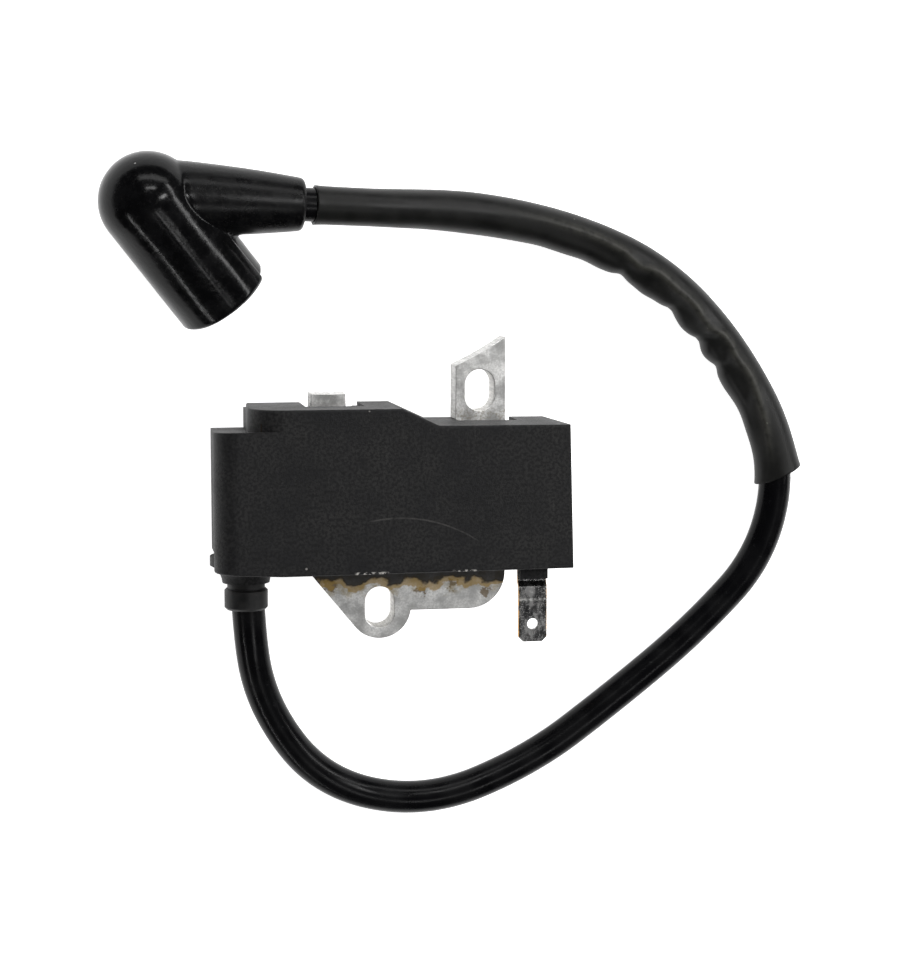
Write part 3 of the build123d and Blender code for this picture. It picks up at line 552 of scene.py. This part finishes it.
@dataclass(frozen=True)
class SleevePlastic(Finish):
    """Matte, slightly greenish black tubing, paler along its crease crests."""

    slot: str = "sleeve_plastic"

    def paint(self, g: Graph) -> None:
        """Dull black, paler on the ridges that the crease attribute marks, with a fine tooth."""
        cloud, tooth = g.noise(5 * MM, 4.0, 0.6), g.noise(0.20 * MM, 3.0, 0.6)
        base = g.colour(g.span(cloud, 0.3, 0.7), (0.0045, 0.0045, 0.0043), (0.0095, 0.0095, 0.0088))
        crease = g.attribute("crease")
        # Paler colour along the ridge crests that the crease attribute marks
        paler_crest = g.both(crease, g.span(g.noise(1.2 * MM), 0.3, 0.6, 0.3, 0.8))
        base = g.colour(paler_crest, base, (0.050, 0.049, 0.042))
        specks = g.both(g.span(g.cells(3.4 * MM), 0.04, 0.07, 1.0, 0.0), g.span(cloud, 0.5, 0.6))
        base = g.colour(specks, base, (0.12, 0.12, 0.10))
        rough = g.span(cloud, 0.3, 0.7, 0.36, 0.46)
        g.set(base_color=base, roughness=rough, normal=g.relief(tooth, 0.012 * MM), specular_ior_level=0.20)


@dataclass(frozen=True)
class BootRubber(Finish):
    """Moulded black rubber, shiny on the barrel and duller on the arm, with lint caught on it."""

    slot: str = "boot_rubber"

    def paint(self, g: Graph) -> None:
        """Deep black, mottled and rougher where the arm attribute is high, with pale lint specks."""
        arm = g.attribute("arm_share")
        cloud, pores = g.noise(3.2 * MM, 4.0, 0.6), g.noise(0.6 * MM, 4.0, 0.65)
        base = g.colour(g.span(cloud, 0.35, 0.7), (0.0022, 0.0022, 0.0025), (0.0050, 0.0050, 0.0054))
        blotch = g.both(g.span(pores, 0.50, 0.68), g.span(arm, 0.0, 1.0, 0.25, 0.8))
        base = g.colour(blotch, base, (0.009, 0.0088, 0.0085))
        thin = g.span(g.noise(5 * MM, 2.0), 0.50, 0.62)
        lint = g.both(g.span(g.cells(3.1 * MM), 0.035, 0.065, 1.0, 0.0), thin)
        base = g.colour(lint, base, (0.30, 0.30, 0.29))
        gloss = g.span(cloud, 0.3, 0.7, 0.13, 0.21)
        rough = g.math("ADD", gloss, g.math("MULTIPLY", arm, 0.12))
        dull = g.math("ADD", rough, g.span(pores, 0.55, 0.75, 0.0, 0.15))
        skin = g.relief(g.noise(2.4 * MM, 2.0, 0.4), 0.035 * MM)
        g.set(base_color=base, roughness=dull, normal=g.relief(pores, 0.010 * MM, skin),
              specular_ior_level=0.13)


@dataclass(frozen=True)
class GrommetRubber(Finish):
    """Dull black rubber of the lead's collar."""

    slot: str = "grommet_rubber"

    def paint(self, g: Graph) -> None:
        """Dull black with soft clouds and a fine tooth."""
        cloud = g.noise(1.8 * MM, 4.0, 0.6)
        base = g.colour(g.span(cloud, 0.35, 0.7), (0.006, 0.006, 0.0065), (0.016, 0.0155, 0.015))
        rough = g.span(cloud, 0.3, 0.7, 0.42, 0.58)
        g.set(base_color=base, roughness=rough, normal=g.relief(g.noise(0.3 * MM), 0.015 * MM),
              specular_ior_level=0.3)


@dataclass(frozen=True)
class WoundCopper(Finish):
    """Layers of enamelled wire: rows of turns along the coil, amber over copper."""

    slot: str = "enamelled_copper"
    wire: float = 0.25 * MM

    def paint(self, g: Graph) -> None:
        """Stripes of one wire's width along Y, as a sine, over a red-brown that varies slowly."""
        turns = g.math("SINE", g.math("MULTIPLY", g.y, math.tau / self.wire))
        base = g.colour(g.span(turns, -1.0, 1.0), (0.20, 0.055, 0.018), (0.62, 0.22, 0.075))
        base = g.colour(g.span(g.noise(3 * MM), 0.4, 0.7, 0.0, 0.4), base, (0.42, 0.10, 0.03))
        g.set(base_color=base, metallic=0.8, roughness=g.span(turns, -1.0, 1.0, 0.5, 0.25),
              normal=g.relief(turns, 0.05 * MM))


@dataclass(frozen=True)
class SpeckledSolid(Finish):
    """A plain solid with clouds, grain and speckle, for parts sealed in the epoxy."""

    dark: tuple = (0.1, 0.1, 0.1)
    pale: tuple = (0.2, 0.2, 0.2)
    rough: float = 0.5
    metal: float = 0.0
    grain: float = 0.3 * MM

    def paint(self, g: Graph) -> None:
        """Two shades in clouds, a fine grain in the gloss and the relief."""
        cloud, grain = g.noise(2.5 * MM, 4.0, 0.6), g.noise(self.grain, 3.0, 0.6)
        base = g.colour(g.span(cloud, 0.35, 0.7), self.dark, self.pale)
        base = g.colour(g.span(grain, 0.6, 0.75, 0.0, 0.5), base, self.dark)
        rough = g.span(grain, 0.3, 0.7, self.rough - 0.06, self.rough + 0.06)
        g.set(base_color=base, metallic=self.metal, roughness=rough, normal=g.relief(grain, 0.012 * MM))


HOUSING_PLASTIC = SparkedPlastic()
EPOXY = CastEpoxy()
CORE_STEEL = ElectricalSteel()
BLADE_TIN = TinnedBlade()
LEAD_VINYL = VinylJacket()
SLEEVE_PLASTIC = SleevePlastic()
BOOT_RUBBER = BootRubber()
GROMMET_RUBBER = GrommetRubber()
COIL_COPPER = WoundCopper()
NYLON = SpeckledSolid("bobbin_nylon", (0.46, 0.43, 0.36), (0.62, 0.59, 0.51), 0.42)
LAMINATE = SpeckledSolid("board_laminate", (0.10, 0.13, 0.04), (0.21, 0.22, 0.08), 0.38)
CASE = SpeckledSolid("component_case", (0.012, 0.012, 0.013), (0.028, 0.028, 0.030), 0.55)
CAPACITOR_CASE = SpeckledSolid("capacitor_case", (0.26, 0.045, 0.012), (0.42, 0.085, 0.025), 0.35)
TINNED_WIRE = SpeckledSolid("tinned_brass", (0.42, 0.42, 0.41), (0.66, 0.65, 0.63), 0.30, 1.0)
BARE_BRASS = SpeckledSolid("plain_brass", (0.50, 0.30, 0.09), (0.78, 0.53, 0.20), 0.28, 1.0)
STRAND_COPPER = SpeckledSolid("lead_strand", (0.45, 0.17, 0.07), (0.80, 0.38, 0.19), 0.32, 1.0)
SPRING_WIRE = SpeckledSolid("spring_steel", (0.36, 0.35, 0.34), (0.62, 0.61, 0.59), 0.28, 1.0)


def dress(piece: bpy.types.Object, finish: Finish, body: Optional[Body] = None) -> bpy.types.Object:
    """Gives a piece its finish and slot, and its body where it isn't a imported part.

    Args:
        piece: The object.
        finish: Its finish.
        body: The body that a new piece rides on.

    Returns:
        The same object.
    """
    piece.data.materials.clear()
    piece.data.materials.append(finish.material())
    if body is not None:
        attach(piece, body.value)
    LOG.info("%s has the finish %s", piece.name, type(finish).__name__)
    return piece


def dress_node(name: str, finish: Finish) -> None:
    """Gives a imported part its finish."""
    dress(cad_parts[name], finish)


# ---------------------------------------------------------------- sub-assemblies


@dataclass
class PlugLead:
    """The lead's jacket and strand on one smooth spline, and the loose sleeve on its second half."""

    jacket_r: float = 2.75 * MM
    strand_r: float = 0.8 * MM
    wires: int = 7
    length: float = 0.2724
    exit: tuple = (-22.8 * MM, -19.0 * MM, 10.0 * MM)
    sleeve_r: float = 3.5 * MM
    sleeve_wall: float = 0.45 * MM
    running_room: float = 0.04 * MM
    thinnest_wall: float = 0.12 * MM
    ridge_height: float = 0.30 * MM
    hollow_depth: float = 0.24 * MM
    flare: float = 0.95 * MM
    lip: float = 0.10 * MM
    unevenness: float = 0.07 * MM
    cut_lean: float = 1.6 * MM
    sleeve_from: float = 154.8 * MM
    sleeve_to: float = 259.0 * MM
    route: tuple = (
        (-22.8, -4.1, 10.0), (-22.8, -20.2, 10.0), (-20.2, -36.0, 7.2), (-9.4, -50.8, 3.4),
        (8.6, -55.0, 2.8), (26.6, -48.2, 2.8), (41.2, -37.6, 2.8), (55.6, -26.1, 2.8),
        (68.2, -12.8, 2.9), (70.6, 5.4, 3.72), (61.3, 22.4, 3.75), (49.2, 35.5, 3.75),
        (32.4, 43.0, 3.8), (14.4, 46.3, 6.5), (-5.0, 46.7, 11.7), (-24.9, 47.7, 13.0),
    )
    # Where the sleeve is pinched on the bend's inside: place along the lead, depth, half width
    pinches: tuple = ((202.3, 0.56, 1.4), (190.9, 0.62, 1.5), (183.3, 0.72, 1.3), (177.4, 0.56, 1.2),
                      (210.0, 0.14, 2.2), (218.5, 0.10, 2.6), (168.0, 0.06, 2.6))
    # Where it bulges between the pinches
    bulges: tuple = ((197.0, 0.38, 2.4), (187.0, 0.26, 1.5), (180.4, 0.24, 1.3), (173.6, 0.36, 3.0),
                     (206.5, 0.10, 2.0), (164.0, 0.28, 4.0))
    # The sleeve narrows towards the boot: place along the lead, radius
    narrowing: tuple = (
        (154.0, 3.5), (225.0, 3.5), (232.0, 3.45), (240.0, 3.25), (250.0, 3.1), (262.0, 3.05),
    )
    # Ridge between the lit top and the pinched side: place along the lead, distance outwards
    ridge: tuple = ((154.0, -1.9), (160.8, -1.5), (168.6, -0.5), (172.0, 0.3), (174.6, 0.5), (177.4, -0.1),
                    (179.6, 0.6), (182.2, 0.6), (183.6, -0.7), (185.6, -0.5), (188.8, 0.1), (193.0, -0.1),
                    (197.0, 0.4), (199.0, 0.1), (201.0, -0.7), (204.2, 0.5), (209.0, 0.9), (225.0, 1.1),
                    (262.0, 1.1))

    def spline(self, name: str) -> bpy.types.Object:
        """A curve of one open spline with the route's points as its control points."""
        curve = bpy.data.curves.new(name, "CURVE")
        curve.dimensions = "3D"
        curve.resolution_u = 32
        line = curve.splines.new("NURBS")
        line.points.add(len(self.route) - 1)
        points = np.column_stack([np.array(self.route) * MM, np.ones(len(self.route))])
        line.points.foreach_set("co", points.ravel().astype(np.float32))
        line.order_u = 3
        line.use_endpoint_u = True
        piece = bpy.data.objects.new(name, curve)
        bpy.context.scene.collection.objects.link(piece)
        return piece

    def line(self) -> tuple:
        """Points read from the spline, and each one's distance along it."""
        guide = self.spline("route_guide")
        mesh = bpy.data.meshes.new_from_object(guide)
        points = points_of(mesh)
        bpy.data.objects.remove(guide)
        bpy.data.meshes.remove(mesh)
        steps = np.linalg.norm(np.diff(points, axis=0), axis=1)
        return points, np.concatenate([[0.0], np.cumsum(steps)])

    def carried(self, places: np.ndarray, radii: np.ndarray, angles: np.ndarray) -> np.ndarray:
        """Carries rings along the lead's line.

        At each place along the line, a point stands at its radius and angle from the line. The
        angle starts at the outside of the bend, level with the table, and turns up from there.

        Args:
            places: Distance along the line of each point, rings by columns.
            radii: Distance from the line, rings by columns.
            angles: Angle of each column.

        Returns:
            The points, rings by columns by three.
        """
        points, along = self.line()
        ahead = rows_of(np.gradient(points, along, axis=0))
        centre = np.stack([np.interp(places, along, points[:, i]) for i in range(3)], -1)
        course = rows_of(np.stack([np.interp(places, along, ahead[:, i]) for i in range(3)], -1))
        outward = rows_of(np.cross(course, (0.0, 0.0, 1.0)))
        upward = np.cross(outward, course)
        aside, lift = radii * np.cos(angles), radii * np.sin(angles)
        return centre + outward * aside[..., None] + upward * lift[..., None]

    def strand(self) -> bpy.types.Object:
        """The stranded conductor: a rosette of wires that turns once in 14 mm.

        Radius = strand_r times (0.86 + 0.14 cos(wires times (angle - twist))).
        """
        places = np.arange(5.2 * MM, self.length - 0.6 * MM, 1.2 * MM)[:, None]
        angles = np.linspace(0.0, math.tau, 6 * self.wires, endpoint=False)[None, :]
        twist = places * math.tau / (14 * MM)
        radii = self.strand_r * (0.86 + 0.14 * np.cos(self.wires * (angles - twist)))
        rings = self.carried(np.broadcast_to(places, radii.shape), radii, angles)
        piece = closed_surface("lead_strand", capped(rings), loop_rows=False)
        merge_poles(piece)
        return piece

    def sleeve(self) -> bpy.types.Object:
        """The loose sleeve, as one closed wall with an outer face, two cut ends and an inner face.

        Outer radius = the narrowing's radius, less each pinch and plus each bulge on the inside
        of the bend, plus the ridge and less the hollow beside it, plus a flare on the outside at
        the cut end and a bead at the boot's end. The inner face is a wall further in, but never
        inside the lead. Near the cut end a ring leans, further along outside than inside,
        because the cut is slanted.
        """
        step = 0.26 * MM
        along = np.arange(self.sleeve_from, self.sleeve_to, step)[:, None]
        angles = np.linspace(0.0, math.tau, 72, endpoint=False)[None, :]
        inside = np.clip(-np.cos(angles + 0.15), 0.0, 1.0) ** 1.3
        pinches, bulges = np.array(self.pinches) * MM, np.array(self.bulges) * MM
        pinch = (pinches[:, 1] * bell(along, pinches[:, 0], 1.0 * MM) ** ((MM / pinches[:, 2]) ** 2)).sum(1)
        bulge = (bulges[:, 1] * bell(along, bulges[:, 0], 1.0 * MM) ** ((MM / bulges[:, 2]) ** 2)).sum(1)
        knots = np.array(self.ridge) * MM
        offset = np.interp(along[:, 0], knots[:, 0], knots[:, 1])
        kernel = bell(np.arange(-6, 7) * step, 0.0, 0.9 * MM)
        offset = np.convolve(np.pad(offset, 6, "edge"), kernel / kernel.sum(), "valid")[:, None]
        turn = np.arccos(np.clip(offset / self.sleeve_r, -1.0, 1.0))
        from_ridge = (angles - turn + math.pi) % math.tau - math.pi
        creased = smooth_step(along, 156 * MM, 166 * MM) * smooth_step(-along, -232 * MM, -206 * MM)
        crest = bell(from_ridge, 0.0, 0.20) * creased
        hollow = bell(from_ridge, 0.52, 0.30) * creased
        from_cut = along - self.sleeve_from
        opening = np.clip(np.cos(angles - 0.25), 0.0, 1.0) * np.exp(-from_cut / (4.5 * MM))
        end_bead = bell(along, self.sleeve_to, 1.2 * MM)
        wander = self.unevenness * np.sin(along / (7.3 * MM) + 2.0 * angles) * np.sin(along / (11 * MM))
        narrow = np.array(self.narrowing) * MM
        plain = np.interp(along, narrow[:, 0], narrow[:, 1])
        outer = plain + (bulge - pinch)[:, None] * inside + self.ridge_height * crest
        outer = outer - self.hollow_depth * hollow
        outer = outer + self.flare * opening + self.lip * end_bead + wander
        inner = np.maximum(outer - self.sleeve_wall, self.jacket_r + self.running_room)
        outer = np.maximum(outer, inner + self.thinnest_wall)
        lean = self.cut_lean * np.cos(angles) * np.exp(-from_cut / (5 * MM))
        places = along + lean
        walls = np.concatenate([outer, inner[::-1]])
        rings = self.carried(np.concatenate([places, places[::-1]]), walls, angles)
        piece = closed_surface("sleeve", rings)
        crease = np.concatenate([crest, np.zeros_like(crest)]).ravel()
        mark = piece.data.attributes.new("crease", "FLOAT", "POINT")
        mark.data.foreach_set("value", crease.astype(np.float32))
        return piece

    def build(self, boot: bpy.types.Object) -> None:
        """Args:
            boot: The boot on the lead's far end; not used.
        """
        lead = self.spline("plug_lead")
        lead.data.bevel_depth = self.jacket_r
        lead.data.bevel_resolution = 10
        lead.data.use_fill_caps = True
        dress(lead, LEAD_VINYL, Body.MODULE)
        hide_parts("ht_lead_jacket")
        strand = dress(self.strand(), STRAND_COPPER, Body.MODULE)
        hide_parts("ht_conductor")
        sleeve = dress(self.sleeve(), SLEEVE_PLASTIC, Body.MODULE)
        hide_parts("protective_sleeve")
        LOG.info("the lead is %.1f mm long", self.length / MM)


@dataclass
class PlugBoot:
    """The angled rubber boot: dome and barrel round the plug, and an arm round the lead's end."""

    centre: tuple = (-37.96 * MM, 47.57 * MM, 13.65 * MM)
    bearing: float = -51.5 * DEGREE
    tilt: float = 15.9 * DEGREE
    radius: float = 8.0 * MM
    length: float = 20.8 * MM
    voxel: float = 0.22 * MM
    seam_angle: float = -3 * DEGREE
    step_angle: float = 54 * DEGREE
    seam_height: float = 0.035 * MM
    step_depth: float = 0.22 * MM
    dent_depth: float = 0.05 * MM
    mouth_step: float = 0.5 * MM

    def axes(self) -> tuple:
        """The barrel's axis towards its mouth, its top side, and its side towards the arm."""
        level = math.cos(self.tilt)
        axis = np.array([
            math.cos(self.bearing) * level, math.sin(self.bearing) * level, -math.sin(self.tilt),
        ])
        top = rows_of(np.array([0.0, 0.0, 1.0]) - axis[2] * axis)
        return axis, top, np.cross(top, axis)

    def remeshed(self) -> bpy.types.Object:
        """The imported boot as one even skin, softened like rubber from a worn mould."""
        rough = merged_copy("spark_plug_boot", "boot_blank")
        grid = rough.modifiers.new("even_skin", "REMESH")
        grid.mode = "VOXEL"
        grid.voxel_size = self.voxel
        grid.use_smooth_shade = True
        soft = rough.modifiers.new("soften", "SMOOTH")
        soft.factor = 0.5
        soft.iterations = 5
        mesh = bpy.data.meshes.new_from_object(rough.evaluated_get(bpy.context.evaluated_depsgraph_get()))
        blank = rough.data
        bpy.data.objects.remove(rough)
        bpy.data.meshes.remove(blank)
        mesh.name = "boot"
        return new_piece("boot", mesh)

    def build(self) -> bpy.types.Object:
        """Moulding marks are added to the skin as moves of its points.

        With t along the axis, r from it and angle round it from the top: a low seam runs along
        the barrel's top as a bell over the angle. Past the step angle, on the arm's side, the
        barrel is a step nearer its axis and its mouth is a step shorter, where the mould's
        halves didn't meet.

        Returns:
            The boot.
        """
        piece = self.remeshed()
        points = points_of(piece.data)
        axis, top, side = self.axes()
        reach = points - np.array(self.centre)
        t = reach @ axis
        out = reach - t[:, None] * axis
        r = np.linalg.norm(out, axis=1)
        angle = np.arctan2(out @ side, out @ top)
        skin = smooth_step(r, self.radius - 1.1 * MM, self.radius - 0.5 * MM)
        skin = skin * smooth_step(-r, -self.radius - 0.9 * MM, -self.radius - 0.35 * MM)
        on_barrel = smooth_step(t, -1.0 * MM, 1.5 * MM)
        seam = self.seam_height * bell(angle, self.seam_angle, 2.0 * DEGREE) * smooth_step(t, -5 * MM, 0.0)
        past = smooth_step(angle, self.step_angle, self.step_angle + 2.5 * DEGREE)
        past = past * smooth_step(-angle, -110 * DEGREE, -100 * DEGREE)
        step = -self.step_depth * past * on_barrel
        dents = self.dent_depth * np.sin(t / (2.9 * MM) + 1.7 * np.sin(3 * angle)) * np.sin(2 * angle)
        shorter = -self.mouth_step * past * smooth_step(t, self.length - 2.4 * MM, self.length - 0.8 * MM)
        shift = (seam + step + dents) * skin
        points += rows_of(out) * shift[:, None] + axis * shorter[:, None]
        piece.data.vertices.foreach_set("co", points.ravel().astype(np.float32))
        arm = smooth_step(r, self.radius + 0.1 * MM, self.radius + 0.9 * MM)
        arm = arm * smooth_step(points[:, 0], -40 * MM, -36 * MM)
        mark = piece.data.attributes.new("arm_share", "FLOAT", "POINT")
        mark.data.foreach_set("value", arm.astype(np.float32))
        piece.data.update()
        dress(piece, BOOT_RUBBER, Body.BOOT)
        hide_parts("spark_plug_boot")
        return piece


@dataclass
class CoilModule:
    """The housing with its core sheets, blade, collar and resin."""

    sheets: int = 10
    rollover: float = 0.07 * MM
    front_rollover: float = 0.11 * MM
    blade_round: float = 0.07 * MM

    def core(self) -> None:
        """The stamped sheets, each with its edges rolled over by the punch."""
        for number in range(1, self.sheets + 1):
            node = f"core_lamination_{number:02d}"
            sheet = merged_copy(node, f"core_sheet_{number:02d}")
            width = self.front_rollover if number == self.sheets else self.rollover
            rounded_edges(sheet, width, 2 if number == self.sheets else 1)
            dress(sheet, CORE_STEEL, Body.MODULE)
            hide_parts(node)

    def blade(self) -> None:
        """The stop-switch blade with its edges broken."""
        blade = merged_copy("stop_terminal", "stop_blade")
        rounded_edges(blade, self.blade_round, 2)
        dress(blade, BLADE_TIN, Body.MODULE)
        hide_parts("stop_terminal")

    def build(self) -> None:
        """Makes the module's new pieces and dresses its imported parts."""
        self.core()
        self.blade()
        dress_node("housing", HOUSING_PLASTIC)
        dress_node("potting", EPOXY)
        dress_node("lead_grommet", GROMMET_RUBBER)


@dataclass
class SealedParts:
    """The coils and the circuit inside the resin, and the boot's spring."""

    finishes: tuple = (
        (NYLON, ("primary_bobbin", "secondary_bobbin", "charge_bobbin")),
        (COIL_COPPER, ("primary_winding", "secondary_winding", "charge_winding")),
        (LAMINATE, ("circuit_board",)),
        (CAPACITOR_CASE, ("storage_capacitor",)),
        (CASE, ("thyristor", "timing_chip", "diodes", "resistors")),
        (TINNED_WIRE, ("coil_leads", "charge_leads", "ground_wire", "ht_link_wire")),
        (BARE_BRASS, ("ht_spike",)),
        (SPRING_WIRE, ("plug_spring",)),
    )

    def build(self) -> None:
        """Dresses each sealed part."""
        for finish, names in self.finishes:
            for name in names:
                dress_node(name, finish)


@dataclass
class SoftLight:
    """A soft rectangular lamp that faces the object from a direction."""

    name: str
    towards: tuple
    distance: float
    size: tuple
    power: float
    along: tuple = (0.0, 0.0, 1.0)

    def build(self, centre: Vector) -> None:
        """Places the lamp, its long side along the given direction.

        Args:
            centre: The point it faces.
        """
        data = bpy.data.lights.new(self.name, "AREA")
        data.shape = "RECTANGLE"
        data.size, data.size_y = self.size
        data.energy = self.power
        back = Vector(self.towards).normalized()
        long_side = Vector(self.along)
        side = (long_side - long_side.dot(back) * back).normalized()
        up = back.cross(side)
        lamp = bpy.data.objects.new(self.name, data)
        lamp.matrix_world = Matrix.Translation(centre + back * self.distance) @ Matrix(
            (side, up, back)
        ).transposed().to_4x4()
        bpy.context.scene.collection.objects.link(lamp)


@dataclass
class Studio:
    """A white table under soft lamps, and the camera."""

    camera_at: tuple = (-0.051876, 0.043039, 0.374953)
    camera_right: tuple = (0.98536, 0.0, 0.17049)
    camera_up: tuple = (0.01899, 0.99378, -0.10973)
    camera_back: tuple = (-0.16943, 0.11136, 0.97923)
    lens: float = 83.83
    sensor: float = 36.0
    table_half: float = 3.0
    table_z: float = -0.05 * MM
    table_glow: float = 0.96
    sky: float = 0.045
    lamps: tuple = (
        SoftLight("side_softbox", (0.85, 0.32, 0.62), 1.0, (0.9, 0.10), 4.6, (0.62, -0.78, 0.0)),
        SoftLight("lower_strip", (-0.52, -0.74, 0.44), 1.0, (0.9, 0.018), 2.0, (0.62, -0.78, -0.2)),
        SoftLight("back_wash", (0.10, 0.86, 0.56), 1.1, (1.1, 0.22), 3.6, (1.0, 0.0, 0.0)),
        SoftLight("high_bar", (0.0, 0.52, 0.86), 1.1, (0.40, 0.10), 2.0, (1.0, 0.0, 0.0)),
        SoftLight("near_bar", (0.26, -0.40, 0.88), 1.1, (0.34, 0.08), 0.9, (0.87, 0.5, 0.0)),
        SoftLight("tab_bar", (0.46, 0.22, 0.86), 1.1, (0.30, 0.08), 2.8, (0.87, 0.5, 0.0)),
    )

    def camera(self) -> None:
        """The camera at its measured place, with no shift and no depth of field."""
        data = bpy.data.cameras.new("view")
        data.lens = self.lens
        data.sensor_width = self.sensor
        data.sensor_fit = "AUTO"
        data.dof.use_dof = False
        data.clip_start = 0.01
        turn = Matrix((self.camera_right, self.camera_up, self.camera_back)).transposed().to_4x4()
        view = bpy.data.objects.new("view", data)
        view.matrix_world = Matrix.Translation(self.camera_at) @ turn
        bpy.context.scene.collection.objects.link(view)
        bpy.context.scene.camera = view

    def table(self) -> None:
        """A wide white table top that glows faintly, so that shadows stay pale."""
        side = np.linspace(-self.table_half, self.table_half, 9)
        x, y = np.meshgrid(side, side)
        points = np.stack([x, y, np.full_like(x, self.table_z)], -1).reshape(-1, 3)
        mesh = bpy.data.meshes.new("table")
        mesh.from_pydata(points.tolist(), [], grid_faces(9, 9, False, False).tolist())
        table = new_piece("table", mesh)
        g = Graph("table_top")
        tint = g.colour(g.span(g.noise(0.05), 0.3, 0.7), (0.90, 0.90, 0.90), (0.93, 0.93, 0.93))
        g.set(base_color=tint, roughness=0.9, specular_ior_level=0.1)
        g.set(emission_color=(1.0, 1.0, 1.0), emission_strength=self.table_glow)
        mesh.materials.append(g.material)

    def build(self) -> None:
        """Sets up the camera, the table, the lamps and the dim surroundings."""
        self.camera()
        self.table()
        low, high = (Vector(corner) for corner in cad_box)
        for lamp in self.lamps:
            lamp.build((low + high) / 2)
        world = bpy.data.worlds.new("room")
        world.use_nodes = True
        background = world.node_tree.nodes["Background"]
        background.inputs["Color"].default_value = (0.96, 0.98, 1.0, 1.0)
        background.inputs["Strength"].default_value = self.sky
        bpy.context.scene.world = world
        bpy.context.scene.view_settings.view_transform = "Standard"
        bpy.context.scene.view_settings.look = "None"


def main() -> None:
    """Builds the studio, the lead with its boot, the module and its sealed parts."""
    logging.basicConfig(level=logging.INFO, format="%(name)s: %(message)s")
    Studio().build()
    boot = PlugBoot().build()
    PlugLead().build(boot)
    CoilModule().build()
    SealedParts().build()


if __name__ == "__main__":
    main()
